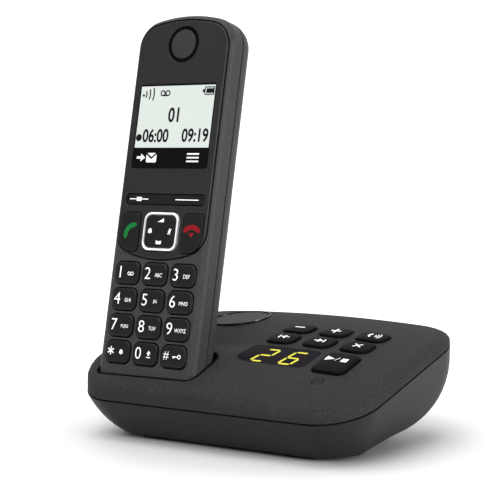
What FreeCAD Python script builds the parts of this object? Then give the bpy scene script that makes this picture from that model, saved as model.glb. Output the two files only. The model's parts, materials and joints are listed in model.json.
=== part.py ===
"""Cordless telephone standing in an answering-machine base.

Frame: mm, +Z up, +Y to the back, origin under the middle of the base on the ground.
The base is drawn with Y measured from its front edge and moved to the origin on export.
The handset is drawn flat (x across, y up its length, z out of its face) and leant back.
"""
import os
import math
import FreeCAD
import Part

os.makedirs("parts", exist_ok=True)

# ---- base: driving dimensions -------------------------------------------------------
BASE_W, BASE_D, BASE_R = 134.0, 92.0, 20.0      # plan outline and its corner radius
PART_Z0, PART_TILT = 15.5, 15.9                 # height of the joint line in front, its slope
TOP_BACK_RISE = 4.6                             # top surface above the joint line at the back
TOP_A, TOP_B = 0.075, 0.0021                    # slope of the top at the back, how it steepens
CROWN_R, CROWN_X = 800.0, -3.0                  # sideways crown of the top
WALL = 2.2                                      # shell wall
EDGE_R = 3.4                                    # rounding of the top's front edge
FOOT_H = 1.5                                    # rubber feet under the hull
HULL_Z, HULL_A = 36.0, 30.0                     # height and reach of the hull's curved wall
HULL_TURN = 15.0                                # degrees turned by each flat at its corners
GROOVE = 0.5                                    # dark line between the shells
COLLAR_Z0, COLLAR_SLOPE, COLLAR_MAX = 24.1, 0.45, 35.6   # raised rim round the handset
COLLAR_REACH, COLLAR_TAPER = 26.5, 0.62         # how far the rim reaches right, how it draws in
COLLAR_TAPER_END = 25.0                         # where it stops drawing in
COLLAR_END, COLLAR_FADE = 30.0, 16.0            # where the rim starts to sink, over what length
COLLAR_LIFT, BLEND = 0.8, 2.0                   # rise needed to show above the panel, soft join
WELL_SIDE = 34.4                                # left side of the base to the well's middle
HULL_FLATS = round(90 / HULL_TURN)
TILT = math.tan(math.radians(PART_TILT))
TOP_BACK = PART_Z0 + BASE_D * TILT + TOP_BACK_RISE       # height of the top's back edge

# ---- handset: driving dimensions ----------------------------------------------------
HS_X = WELL_SIDE - BASE_W / 2
HS_Y, HS_Z, HS_LEAN = 11.0, 50.6, 11.2          # middle of the keypad, lean back
HS_W, HS_T = 48.0, 19.2                         # width and thickness
HS_BOT, HS_TOP, HS_ARCH = -32.5, 123.0, 66.0    # lower end, upper end, top arch radius
HS_RB, HS_RT = 10.5, 11.5                       # lower and upper corner radii
HS_FRONT_R, HS_REAR_R = 3.2, 10.0               # rounding of the face edge and the back edge
HS_SEAM = 8.5                                   # depth of the side seam
HS_WALL, TOP_THICK = 1.8, 3.0                   # shell wall, extra at the top end
FIT = 0.6                                       # handset to well
CUP, WELL_OPEN = 1.2, 60.0                      # well wall, height that the well is cut to
RUN = 0.3                                       # running gap round every key
PITCH_X, PITCH_Y = 14.0, 10.7                   # number key spacing
KEY_W, KEY_H, KEY_R, KEY_RISE = 12.2, 9.0, 2.8, 0.8
PANEL_HW, PANEL_BOT, PANEL_T = 22.3, 22.1, 1.4  # dark upper panel
PANEL_TOP = HS_TOP - 2.5                        # its upper end, within the rolled rim

# ---- base fittings ------------------------------------------------------------------
BOARD_DROP, BOARD_T, BASE_MAT_T = 7.6, 1.6, 1.2  # board face below the keys, board, key mat
BOARD_LEFT, BOARD_RIGHT = 3.6, 8.0              # board to the well's wall and to the side wall
BOARD_FRONT, BOARD_BACK = -35.0, 27.0           # board ends from the middle of the key rows
POST_R, POST_IN = 2.0, 3.0                      # posts that carry the board, in from its edges
TRAVEL = 0.5                                    # key travel
KEY_DEEP, KEY_CLEAR = 9.0, 6.0                  # openings: depth below the top, reach above it
BIG_DEPTH, POWER_DEPTH = 5.0, 5.0               # how far these keys reach below the top
LENS_T, DISC_DEPTH, SPEAKER_SEAT = 1.4, 1.3, 3.0
FLOOR_GAP = 0.3                                 # handset foot to well floor
PAD_X, PAD_N = 9.0, -10.3                       # charging contacts across and into the foot
FOOT_W, FOOT_D = 14.0, 8.0
FOOT_X, FOOT_Y = BASE_W / 2 - 33.0, (19.0, BASE_D - 30.0)
SCREW_X, SCREW_Y = 20.0, sum(FOOT_Y) / 2
SOCKET_Z = TOP_BACK - 15.3                      # sockets in the back wall
LINE_X, LINE_W, LINE_H, LINE_L = 22.0, 12.4, 9.6, 12.0
POWER_JACK_X, POWER_JACK_R = 4.0, 3.9

# ---- handset fittings ---------------------------------------------------------------
SEAT = 0.15                                     # gap round a piece that is let in flush
PCB_TOP, PCB_T = -4.6, 1.2                      # handset circuit board
ROOM_TOP = -2.8                                 # inner side of the handset face
HS_MAT_T, HS_KEY_BOT = 0.9, -3.0                # key mat, underside of the keys
EAR_Y, EAR_R, EAR_DISC = PANEL_TOP - 9.9, 7.7, 5.9       # earpiece: place, opening, disc
SOFT_W, SOFT_H, SOFT_Y = 38.4, 4.0, 46.5        # soft-key strip
LENS_W, LENS_R = 38.4, 1.2                      # display lens, its corners
LENS_Y0, LENS_Y1 = SOFT_Y + SOFT_H / 2 + 10.7, EAR_Y - EAR_R - 8.9       # its ends
LEDGE_T, LEDGE_Y0, LEDGE_Y1 = 1.4, HS_BOT + 7.5, HS_TOP - 16.5   # ledges that carry the board
MIC_R, MIC_Y = 0.6, HS_BOT + 5.2                # microphone hole
NAV_W, NAV_H, NAV_Y, NAV_RIM = 17.3, 15.6, 33.4, 1.2
NAV_R, NAV_PLAY = 3.4, 0.12                     # corner; pivot above the board
CALL_X0, CALL_X1, CALL_Y0, CALL_Y1 = 10.9, 20.6, 25.0, 40.8      # talk and end keys
CELL_R, CELL_L, CELL_X, CELL_Y = 5.15, 44.0, 5.6, 28.0           # battery cells
COVER_HW, COVER_Y0, COVER_Y1, COVER_T = 12.4, -2.5, 60.0, 1.0    # battery cover

# ---- base keys ----------------------------------------------------------------------
BK_X = tuple(HS_X + k for k in (38.1, 55.4, 72.7))       # key columns, from the well's middle
BK_Y = tuple(BASE_D - k for k in (41.7, 29.5))           # key rows, from the back edge
BK_W, BK_D, BK_R, BK_RISE = 13.0, 10.6, 3.8, 1.1
BIG = (BK_X[2], BASE_D - 58.2, 14.6, 16.6, 3.0)          # play/stop key: x, y, size, corner
POWER = (BK_X[2], BASE_D - 71.8, 2.1)                    # power key: x, y, radius
WINDOW = (HS_X + 45.8, BASE_D - 57.2, 32.0, 15.8, 3.0)   # counter window
DISC = (HS_X, BASE_D - 17.7, 13.2)                       # speaker disc

V = FreeCAD.Vector
TO_ORIGIN = V(0, -BASE_D / 2, 0)
FAR = 400.0                                     # beyond every piece
CUP_SIDE = HS_X + HS_W / 2 + FIT + CUP          # right side of the well's wall


def smooth(t):
    t = max(0.0, min(1.0, t))
    return t * t * (3 - 2 * t)


def top_z(x, y):
    """Height of the top surface: a crowned panel and the raised rim round the well."""
    u = BASE_D - y
    panel = TOP_BACK - TOP_A * u - TOP_B * u * u - (x - CROWN_X) ** 2 / (2 * CROWN_R)
    rim = COLLAR_Z0 + COLLAR_SLOPE * y
    rim = -BLEND * math.log(math.exp(-rim / BLEND) + math.exp(-COLLAR_MAX / BLEND))
    extra = BLEND * math.log(1 + math.exp((rim - panel - COLLAR_LIFT) / BLEND))
    reach = COLLAR_REACH - COLLAR_TAPER * max(0.0, min(COLLAR_TAPER_END, y))
    side = 1 - smooth((x - CUP_SIDE - RUN) / reach)
    return panel + extra * side * (1 - smooth((y - COLLAR_END) / COLLAR_FADE))


def placement(origin, normal, up):
    """Frame whose local z is normal and local y points along up."""
    z = V(normal).normalize()
    x = V(up).cross(z).normalize()
    y = z.cross(x)
    m = FreeCAD.Matrix(x.x, y.x, z.x, origin.x, x.y, y.y, z.y, origin.y,
                       x.z, y.z, z.z, origin.z, 0, 0, 0, 1)
    return FreeCAD.Placement(m)


def on_top(x, y):
    """Frame on the top surface: local z is the surface normal."""
    e = 1.5
    dzx = (top_z(x + e, y) - top_z(x - e, y)) / (2 * e)
    dzy = (top_z(x, y + e) - top_z(x, y - e)) / (2 * e)
    return placement(V(x, y, top_z(x, y)), V(-dzx, -dzy, 1), V(0, 1, dzy))


LEAN = math.radians(HS_LEAN)
HS = placement(V(HS_X, HS_Y, HS_Z), V(0, -math.cos(LEAN), math.sin(LEAN)),
               V(0, math.sin(LEAN), math.cos(LEAN)))


def put(shape, frame):
    shape = shape.copy()
    shape.Placement = frame.multiply(shape.Placement)
    return shape


def prism(wire, height):
    return Part.Face(wire).extrude(V(0, 0, height))


def hole(w, d, r, z0, z1, cx=0.0, cy=0.0):
    """Opening for a key: its outline in flats, grown by the running gap."""
    return flat_prism(w + 2 * RUN, d + 2 * RUN, r + RUN, z0, z1, cx, cy)


def flat_prism(w, d, r, z0, z1, cx=0.0, cy=0.0, flats=3):
    """Rounded block whose corners are cut in flats."""
    return prism(poly_wire(w, d, r, z0, cx, cy, flats), z1 - z0)


def stub(r, h, x=0.0, y=0.0, z=0.0, n=20):
    """Small round piece drawn with n flats."""
    pts = [V(x + r * math.cos(2 * math.pi * (k + 0.5) / n),
             y + r * math.sin(2 * math.pi * (k + 0.5) / n), z) for k in range(n)]
    return prism(Part.makePolygon(pts + [pts[0]]), h)


def box(w, d, h, cx, cy, z0):
    return Part.makeBox(w, d, h, V(cx - w / 2, cy - d / 2, z0))


def arched(hw, bot, top, rb, rt, arch, z, bot_arch=None):
    """Closed outline with an arched top; the lower end is straight or arched too."""
    def end(y_end, sign, rc, ra):
        cy = y_end - sign * ra
        oy = cy + sign * math.sqrt((ra - rc) ** 2 - (hw - rc) ** 2)
        k = ra / (ra - rc)
        tang = V((hw - rc) * k, cy + (oy - cy) * k, z)
        mx, my = tang.x - (hw - rc) + rc, tang.y - oy
        n = math.hypot(mx, my)
        mid = V(hw - rc + rc * mx / n, oy + rc * my / n, z)
        return oy, tang, mid
    ty, tt, tm = end(top, 1, rt, arch)
    left = lambda p: V(-p.x, p.y, p.z)
    edges = [Part.Arc(V(hw, ty, z), tm, tt).toShape(),
             Part.Arc(tt, V(0, top, z), left(tt)).toShape(),
             Part.Arc(left(tt), left(tm), V(-hw, ty, z)).toShape()]
    if bot_arch:
        by, bt, bm = end(bot, -1, rb, bot_arch)
        low = [Part.Arc(V(-hw, by, z), left(bm), left(bt)).toShape(),
               Part.Arc(left(bt), V(0, bot, z), bt).toShape(),
               Part.Arc(bt, bm, V(hw, by, z)).toShape()]
    else:
        by, q = bot + rb, rb * (1 - math.sqrt(0.5))
        low = [Part.Arc(V(-hw, by, z), V(-hw + q, bot + q, z), V(-hw + rb, bot, z)).toShape(),
               Part.makeLine(V(-hw + rb, bot, z), V(hw - rb, bot, z)),
               Part.Arc(V(hw - rb, bot, z), V(hw - q, bot + q, z), V(hw, by, z)).toShape()]
    edges += [Part.makeLine(V(-hw, ty, z), V(-hw, by, z))] + low
    edges += [Part.makeLine(V(hw, by, z), V(hw, ty, z))]
    return Part.Wire(edges)


def hs_wire(off, z):
    """Handset outline grown by off."""
    return arched(HS_W / 2 + off, HS_BOT - off, HS_TOP + off, HS_RB + off, HS_RT + off,
                  HS_ARCH + off, z)


def flats_of(wire, sag=0.12):
    """The same outline in straight flats that leave its arcs by no more than sag."""
    return Part.makePolygon(wire.discretize(Deflection=sag))


def hs_body(front_steps=2, rear_steps=3):
    """Handset body: its face and back edges are rolled in steps of a true arc."""
    wires = []
    for k in range(front_steps + 1):
        a = math.pi / 2 * (1 - k / front_steps)
        wires.append(hs_wire(-HS_FRONT_R * (1 - math.cos(a)), -HS_FRONT_R * (1 - math.sin(a))))
    for k in range(rear_steps + 1):
        a = math.pi / 2 * k / rear_steps
        wires.append(hs_wire(-HS_REAR_R * (1 - math.cos(a)),
                             -HS_T + HS_REAR_R * (1 - math.sin(a))))
    return Part.makeLoft(wires, True, True)


def hs_room():
    """Hollow of the handset: plan, cross section and side profile taken together."""
    w, r, z = HS_WALL, HS_REAR_R - HS_WALL, ROOM_TOP
    room = prism(flats_of(hs_wire(-w, -HS_T + w)), z + HS_T - w)
    def profile(lo, hi, make):
        n0 = -HS_T + w
        pts = [make(lo, z), make(hi, z)]
        for k in range(4):
            a = math.pi / 6 * k
            pts.append(make(hi - r * (1 - math.cos(a)), n0 + r * (1 - math.sin(a))))
        for k in range(3, -1, -1):
            a = math.pi / 6 * k
            pts.append(make(lo + r * (1 - math.cos(a)), n0 + r * (1 - math.sin(a))))
        return Part.Face(Part.makePolygon(pts + [pts[0]]))
    hw = HS_W / 2 - w
    across = profile(-hw, hw, lambda x, n: V(x, -FAR, n)).extrude(V(0, 2 * FAR, 0))
    along = profile(HS_BOT + w, HS_TOP - w - TOP_THICK,
                    lambda y, n: V(-FAR, y, n)).extrude(V(2 * FAR, 0, 0))
    return room.common(across).common(along)


PARTS = {}


def emit(name, shape, frame=None):
    """Keep a finished piece in the shared frame."""
    if frame is not None:
        shape = put(shape, frame)
    shape = shape.copy()
    shape.translate(TO_ORIGIN)
    PARTS[name] = shape


# ---- surfaces of the base -----------------------------------------------------------
def top_solid(drop, height=80.0):
    """Everything above the top surface lowered by drop."""
    nx, ny, beyond = 21, 17, 8.0
    w, d = BASE_W + 2 * beyond, BASE_D + 2 * beyond
    grid = [[V(w * (i / (nx - 1) - 0.5), d * j / (ny - 1) - beyond, 0)
             for j in range(ny)] for i in range(nx)]
    for col in grid:
        for p in col:
            p.z = top_z(p.x, p.y) - drop
    surf = Part.BSplineSurface()
    surf.interpolate(grid)
    return surf.toShape().extrude(V(0, 0, height))


def parting_block(lift, above=True):
    """Half space above (or below) the tilted joint plane raised by lift."""
    b = Part.makeBox(2 * FAR, 2 * FAR, FAR, V(-FAR, -FAR, 0 if above else -FAR))
    b.rotate(V(0, 0, 0), V(1, 0, 0), PART_TILT)
    b.translate(V(0, 0, PART_Z0 + lift))
    return b


def plan(inset, z0=-10.0, z1=80.0):
    """Upright block over the base's outline drawn in by inset."""
    return flat_prism(BASE_W - 2 * inset, BASE_D - 2 * inset, BASE_R - inset, z0, z1,
                      0, BASE_D / 2, HULL_FLATS)


def hull_law(z):
    t = max(0.0, min(1.0, (HULL_Z - z) / HULL_Z))
    return HULL_A * (1 - math.sqrt(1 - t * t))


def ring_wire(width, depth, radius, height, y0=BASE_D / 2, mid=0):
    """Closed rounded outline; height(x, y) gives its z, mid adds points along the sides."""
    def at(x, y):
        return V(x, y, height(x, y))
    corners = []
    for sx, sy, a0 in ((1, -1, -90), (1, 1, 0), (-1, 1, 90), (-1, -1, 180)):
        cx, cy = sx * (width / 2 - radius), y0 + sy * (depth / 2 - radius)
        corners.append([(cx + radius * math.cos(math.radians(a0 + 30 * k)),
                         cy + radius * math.sin(math.radians(a0 + 30 * k))) for k in range(4)])
    return join_corners(corners, at, mid)


def join_corners(corners, at, mid):
    edges = []
    for n in range(4):
        c = Part.BSplineCurve()
        c.interpolate(Points=[at(*p) for p in corners[n]])
        edges.append(c.toShape())
        (xa, ya), (xb, yb) = corners[n][-1], corners[(n + 1) % 4][0]
        pts = [at(xa + (xb - xa) * k / (mid + 1), ya + (yb - ya) * k / (mid + 1))
               for k in range(mid + 2)]
        if mid:
            c = Part.BSplineCurve()
            c.interpolate(Points=pts)
            edges.append(c.toShape())
        else:
            edges.append(Part.makeLine(pts[0], pts[1]))
    return Part.Wire(edges)


def hull_points(t, inset, z_bot, flats):
    """Hull outline at t: 0 on the joint plane, 1 on the flat bottom; corners in flats."""
    def reach(y):
        z0 = PART_Z0 + y * TILT
        return hull_law(z0 * (1 - t) + z_bot * t) - hull_law(z0)
    front, back = 0.72 * reach(0.0) + inset, reach(BASE_D) + inset
    pts = []
    for sx, sy, i, a0 in ((1, 0, front, -90), (1, 1, back, 0), (-1, 1, back, 90), (-1, 0, front, 180)):
        r = BASE_R - inset - 0.3 * (i - inset)
        cx = sx * (BASE_W / 2 - i - r)
        cy = BASE_D - i - r if sy else i + r
        for k in range(flats + 1):
            a = math.radians(a0 + 90.0 * k / flats)
            x, y = cx + r * math.cos(a), cy + r * math.sin(a)
            pts.append(V(x, y, (PART_Z0 + y * TILT) * (1 - t) + z_bot * t))
    return pts


def facet_solid(rows):
    """Solid skinned over closed outlines with the same number of points."""
    faces = []
    for low, high in zip(rows, rows[1:]):
        n = len(low)
        for i in range(n):
            a, b, c, d = low[i], low[(i + 1) % n], high[(i + 1) % n], high[i]
            if abs((b - a).cross(c - a).normalize().dot(d - a)) < 1e-6:
                loops = [[a, b, c, d]]
            else:
                loops = [[a, b, c], [a, c, d]]
            faces += [Part.Face(Part.makePolygon(q + [q[0]])) for q in loops]
    for row in (rows[0], rows[-1]):
        faces.append(Part.Face(Part.makePolygon(row + [row[0]])))
    return Part.makeSolid(Part.makeShell(faces))


def hull(inset, z_bot, steps=(0.0, 0.18, 0.35, 0.5, 0.64, 0.77, 0.89, 1.0)):
    return facet_solid([hull_points(t, inset, z_bot, HULL_FLATS) for t in steps])


def rolled_body():
    """Outer form of the top shell: walls that roll over into the top surface."""
    def edge_height(theta, lift):
        def z(x, y):
            top = top_z(x, y)
            h = min(EDGE_R, 0.6 * (top - PART_Z0 - y * TILT))
            return top - h * (1 - math.sin(math.radians(theta))) + lift
        return z
    wires = [ring_wire(BASE_W, BASE_D, BASE_R, lambda x, y: PART_Z0 + y * TILT - 3)]
    for theta, extra, lift in ((0, 0, 0), (35, 0, 0), (65, 0, 0), (65, 2.0, 0.9)):
        i = EDGE_R * (1 - math.cos(math.radians(theta))) + extra
        wires.append(ring_wire(BASE_W - 2 * i, BASE_D - 2 * i, BASE_R - i * 0.8,
                               edge_height(theta, lift), mid=5))
    wires.append(ring_wire(BASE_W - 8, BASE_D - 8, BASE_R - 3, lambda x, y: 70.0))
    body = Part.makeLoft(wires, True, True)
    return body.cut(top_solid(0)).common(parting_block(0))


def ceiling(drop):
    """Everything above the plain crowned panel lowered by drop, in flat fields."""
    beyond = 8.0
    xs = [(BASE_W / 2 + beyond) * k for k in (-1, -0.64, -0.27, 0.19, 0.6, 1)]
    ys = [(BASE_D + 2 * beyond) * k - beyond for k in (0, 0.19, 0.37, 0.56, 0.76, 1)]
    def at(x, y):
        u = BASE_D - y
        return V(x, y, TOP_BACK - TOP_A * u - TOP_B * u * u - drop
                 - (x - CROWN_X) ** 2 / (2 * CROWN_R))
    def up(p):
        return V(p.x, p.y, FAR)
    grid = [[at(x, y) for y in ys] for x in xs]
    loops = [[grid[i][j], grid[i + 1][j], grid[i + 1][j + 1], grid[i][j + 1]]
             for i in range(len(xs) - 1) for j in range(len(ys) - 1)]
    rim = [grid[i][0] for i in range(len(xs))] + [grid[-1][j] for j in range(1, len(ys))]
    rim += [grid[i][-1] for i in range(len(xs) - 2, -1, -1)]
    rim += [grid[0][j] for j in range(len(ys) - 2, 0, -1)]
    loops += [[p, q, up(q), up(p)] for p, q in zip(rim, rim[1:] + rim[:1])]
    loops.append([up(p) for p in rim])
    faces = [Part.Face(Part.makePolygon(c + [c[0]])) for c in loops]
    return Part.makeSolid(Part.makeShell(faces))


def hull_cavity(inset, z_bot):
    """Room inside the hull: straight-sided sections within its wall."""
    return facet_solid([hull_points(t, inset, z_bot, 2) for t in (0.0, 0.45, 0.8, 1.0)])


def hs_section(off, l0, l1):
    """Bar with the handset's cross section grown by off, between two places along it."""
    hw, flats = HS_W / 2 + off, 4
    pts = []
    for sx, n, sn, r, a0 in ((1, off, 1, HS_FRONT_R + off, 90), (1, -HS_T - off, -1, HS_REAR_R + off, 0),
                             (-1, -HS_T - off, -1, HS_REAR_R + off, -90),
                             (-1, off, 1, HS_FRONT_R + off, 180)):
        for k in range(flats + 1):
            a = math.radians(a0 - 90.0 * k / flats)
            pts.append(V(sx * (hw - r) + r * math.cos(a), l0, n - sn * r + r * math.sin(a)))
    return Part.Face(Part.makePolygon(pts + [pts[0]])).extrude(V(0, l1 - l0, 0))


def poly_wire(w, d, r, z, cx=0.0, cy=0.0, flats=3):
    """Rounded rectangle with each corner cut in flats."""
    pts = []
    for sx, sy, a0 in ((1, -1, -90), (1, 1, 0), (-1, 1, 90), (-1, -1, 180)):
        for k in range(flats + 1):
            a = math.radians(a0 + 90.0 * k / flats)
            pts.append(V(cx + sx * (w / 2 - r) + r * math.cos(a),
                         cy + sy * (d / 2 - r) + r * math.sin(a), z))
    return Part.makePolygon(pts + [pts[0]])


def cap(w, d, r, z0, z1, cx=0.0, cy=0.0, bevel=0.6):
    """Key cap: straight sides with a bevelled upper edge."""
    i = 2 * bevel
    return Part.makeLoft([poly_wire(w, d, r, z0, cx, cy), poly_wire(w, d, r, z1 - bevel, cx, cy),
                          poly_wire(w - i, d - i, r - bevel * 0.6, z1, cx, cy)], True, True)


def above(frame, z):
    """Everything on the outer side of a plane z in a frame."""
    return put(Part.makeBox(2 * FAR, 2 * FAR, FAR, V(-FAR, -FAR, z)), frame)


# ---- base ---------------------------------------------------------------------------
deck = on_top(BK_X[1], (BK_Y[0] + BK_Y[1]) / 2)     # plane of the base circuit board
big_at = on_top(BIG[0], BIG[1])
power_at = on_top(POWER[0], POWER[1])
window_at = on_top(WINDOW[0], WINDOW[1])
disc_at = on_top(DISC[0], DISC[1])
board_top = -BOARD_DROP
mat_top = board_top + BASE_MAT_T
skin = ceiling(WALL)

inner = flat_prism(BASE_W - 2 * WALL, BASE_D - 2 * WALL, BASE_R - WALL, 0, FAR, 0, BASE_D / 2, 4)
top = rolled_body().cut(inner.cut(skin))
ring = plan(-3).cut(plan(GROOVE)).common(parting_block(0)).cut(parting_block(GROOVE))
top = top.cut(ring)
seat = put(stub(DISC[2] + 1.4, 1.5, z=-SPEAKER_SEAT), disc_at)
top = top.fuse(seat)
board_x0 = CUP_SIDE + BOARD_LEFT - BK_X[1]
board_x1 = BASE_W / 2 - WALL - BOARD_RIGHT - BK_X[1]
under_top = top_solid(WALL / 2)
for x in (board_x0 + POST_IN, board_x1 - POST_IN):
    for y in (BOARD_FRONT + POST_IN, BOARD_BACK - POST_IN):
        post = put(stub(POST_R, 2 * BOARD_DROP, x, y, board_top, 8), deck)
        top = top.fuse(post.cut(under_top))

bottom = above(deck, mat_top + TRAVEL + 0.15)
rows = (("key_skip_back", "key_skip_forward", "key_delete"),
        ("key_volume_down", "key_volume_up", "key_paging"))
for y, row in zip(BK_Y, rows):
    for x, name in zip(BK_X, row):
        at = on_top(x, y)
        top = top.cut(put(hole(BK_W, BK_D, BK_R, -KEY_DEEP, KEY_CLEAR), at))
        key = put(cap(BK_W, BK_D, BK_R, -KEY_DEEP, BK_RISE, bevel=0.8), at).common(bottom)
        emit(name, key)
x, y, w, d, r = BIG
top = top.cut(put(hole(w, d, r, -KEY_DEEP, KEY_CLEAR), big_at))
key = put(cap(w, d, r, -BIG_DEPTH, BK_RISE + 0.2, bevel=0.8), big_at)
emit("key_play_stop", key)
top = top.cut(put(stub(POWER[2] + RUN, KEY_DEEP + KEY_CLEAR, z=-KEY_DEEP, n=24), power_at))
emit("key_power", put(stub(POWER[2], POWER_DEPTH + 0.1, z=-POWER_DEPTH, n=24), power_at))

w, d, r = WINDOW[2:]
pocket = put(flat_prism(w + 0.2, d + 0.2, r + 0.1, -LENS_T, 6), window_at)
sight = put(box(w - 4.5, d - 4.5, 15, 0, 0, -9), window_at)
top = top.cut(pocket).cut(sight)
emit("counter_window", put(flat_prism(w, d, r, -LENS_T, -0.12), window_at))
module = put(box(w - 5, d - 5, 14, 0, 0, -LENS_T - 14), window_at).common(above(deck, board_top))
emit("counter_display", module)

top = top.cut(put(stub(DISC[2], 6, z=-DISC_DEPTH, n=30), disc_at))
top = top.cut(put(stub(DISC[2] - 3.2, 20, z=-12), disc_at))
emit("speaker_disc", put(stub(DISC[2] - 0.9, DISC_DEPTH - 0.7, z=-DISC_DEPTH, n=30), disc_at))
driver = stub(DISC[2] - 1.0, 1.6, z=-SPEAKER_SEAT - 1.6)
driver = driver.fuse(stub(DISC[2] - 4.0, 5.0, z=-SPEAKER_SEAT - 6.0))
emit("speaker_driver", put(driver.removeSplitter(), disc_at))

floor = HS_BOT - FLOOR_GAP
well = put(hs_section(FIT, floor, WELL_OPEN), HS)
top = top.cut(well)
cup = put(hs_section(FIT + CUP, floor - CUP, WELL_OPEN), HS).cut(well).cut(skin)
cup = cup.cut(plan(-30).cut(plan(WALL + 0.3)))
cup = cup.cut(hull(0, FOOT_H).cut(hull_cavity(WALL + 0.1, FOOT_H + WALL)))
for sx in (-1, 1):
    cup = cup.cut(put(Part.makeBox(6.4, 6, 3.4, V(sx * PAD_X - 3.2, floor - 4, PAD_N - 1.7)), HS))
emit("cradle_well", cup)
for sx, side in ((-1, "left"), (1, "right")):
    leaf = Part.makeBox(9.0, 0.5, 5.0, V(sx * PAD_X - 4.5, floor - CUP - 0.5, PAD_N - 2.5))
    tip = Part.makeBox(5.2, CUP + 0.5, 2.4, V(sx * PAD_X - 2.6, floor - CUP - 0.5, PAD_N - 1.2))
    emit("charge_spring_" + side, leaf.fuse(tip).removeSplitter(), HS)

board = Part.makeBox(board_x1 - board_x0, BOARD_BACK - BOARD_FRONT, BOARD_T,
                     V(board_x0, BOARD_FRONT, board_top - BOARD_T))
emit("base_circuit_board", put(board, deck))
mat = put(box(3 * 17.3, 2 * 12.2 + 1, BASE_MAT_T, 0, 0, board_top), deck)
mat_big = put(box(BIG[2] + 1, BIG[3] - 2, FAR, 0, 0, -BIG_DEPTH - TRAVEL - 0.2 - FAR), big_at)
strip = put(box(BIG[2] - 2, 6, BASE_MAT_T / 2, BIG[0] - BK_X[1], -15, board_top), deck)
mat = mat.fuse(strip).fuse(mat_big.common(above(deck, board_top))).removeSplitter()
emit("base_key_mat", mat)
emit("base_top_shell", top)

low = hull(0, FOOT_H).cut(hull_cavity(WALL, FOOT_H + WALL))
foot_at = [(sx * FOOT_X, y) for sx in (-1, 1) for y in FOOT_Y]
for x, y in foot_at:
    low = low.cut(flat_prism(FOOT_W + 0.3, FOOT_D + 0.3, 2.65, 0, FOOT_H + 0.6, x, y, 2))
for i, x in enumerate((-SCREW_X, SCREW_X)):
    low = low.cut(stub(2.4, 2.0, x, SCREW_Y, FOOT_H - 0.5)).cut(stub(1.3, 6, x, SCREW_Y, 0))
    screw = stub(2.2, 1.2, x, SCREW_Y, FOOT_H + 0.3, 16)
    screw = screw.fuse(stub(1.1, 5.0, x, SCREW_Y, FOOT_H + 1.5, 12))
    screw = screw.cut(box(3.0, 0.6, 0.5, x, SCREW_Y, FOOT_H + 0.3))
    emit("base_screw_" + ("left", "right")[i], screw.removeSplitter())
back = BASE_D - hull_law(SOCKET_Z)
low = low.cut(box(LINE_W + 0.2, 20, LINE_H + 0.2, LINE_X, BASE_D, SOCKET_Z - LINE_H / 2 - 0.1))
jack = box(LINE_W, LINE_L, LINE_H, LINE_X, back - 0.4 - LINE_L / 2, SOCKET_Z - LINE_H / 2)
jack = jack.cut(box(LINE_W - 3, 9, LINE_H - 4, LINE_X, back - 0.4 - 4.5, SOCKET_Z - LINE_H / 2 + 1.2))
jack = jack.cut(box(LINE_W - 7, 9, 3, LINE_X, back - 0.4 - 4.5, SOCKET_Z + LINE_H / 2 - 4))
emit("line_socket", jack)
turn = placement(V(POWER_JACK_X, back - 0.4 - 10, SOCKET_Z), V(0, 1, 0), V(0, 0, 1))
low = low.cut(put(stub(POWER_JACK_R + 0.1, 20), turn))
dc = stub(POWER_JACK_R, 10).cut(stub(POWER_JACK_R - 1.3, 9, z=2.0, n=12))
dc = dc.fuse(stub(0.8, 7.0, z=1.9, n=8))
emit("power_socket", put(dc.removeSplitter(), turn))
emit("base_lower_shell", low)
for (x, y), name in zip(foot_at, ("front_left", "back_left", "front_right", "back_right")):
    emit("foot_" + name, flat_prism(FOOT_W, FOOT_D, 2.5, 0, FOOT_H + 0.6, x, y, 2))

# ---- handset ------------------------------------------------------------------------
whole = hs_body()
room = hs_room()
slab = Part.makeBox(2 * FAR, 2 * FAR, FAR, V(-FAR, -FAR, -HS_SEAM))
rear = whole.cut(slab).cut(room)
front = whole.common(slab).cut(room)
inside = HS_W / 2 - HS_WALL
for sx in (-1, 1):
    front = front.fuse(box(LEDGE_T, LEDGE_Y1 - LEDGE_Y0, ROOM_TOP - PCB_TOP,
                           sx * (inside - 0.5), (LEDGE_Y0 + LEDGE_Y1) / 2, PCB_TOP))
front = front.removeSplitter()


def panel_wire(off, z):
    return arched(PANEL_HW + off, PANEL_BOT - off, PANEL_TOP + off, 9.0 + off,
                  HS_RT - 1.4 + off, HS_ARCH - 1 + off, z, bot_arch=50.0 + off)


def call_shape(side, off, z0, z1):
    """Talk or end key: a block that follows the panel's lower corner."""
    w, h = CALL_X1 - CALL_X0 + 2 * off, CALL_Y1 - CALL_Y0 + 2 * off
    block = flat_prism(w, h, 1.6 + off, z0, z1, side * (CALL_X0 + CALL_X1) / 2,
                       (CALL_Y0 + CALL_Y1) / 2)
    inner = arched(PANEL_HW - 1.7 + off, PANEL_BOT + 1.7 - off, 100, 7.4 + off, 9, 60, z0,
                   bot_arch=48.4 + off)
    return block.common(prism(inner, z1 - z0))


panel = prism(panel_wire(0, -PANEL_T), PANEL_T)
front = front.cut(prism(panel_wire(SEAT, -PANEL_T), PANEL_T + 5))
lw, lh, ly, lr = LENS_W, LENS_Y1 - LENS_Y0, (LENS_Y0 + LENS_Y1) / 2, LENS_R
panel = panel.cut(flat_prism(lw + 0.2, lh + 0.2, lr, -5, 5, 0, ly, 2))
front = front.cut(box(lw - 1.6, lh - 1.6, 10, 0, ly, -5))
emit("display_lens", flat_prism(lw, lh, lr, -PANEL_T, -0.1, 0, ly, 2), HS)
emit("display_module", box(lw - 2, lh - 2, -PANEL_T - PCB_TOP, 0, ly, PCB_TOP), HS)

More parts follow.
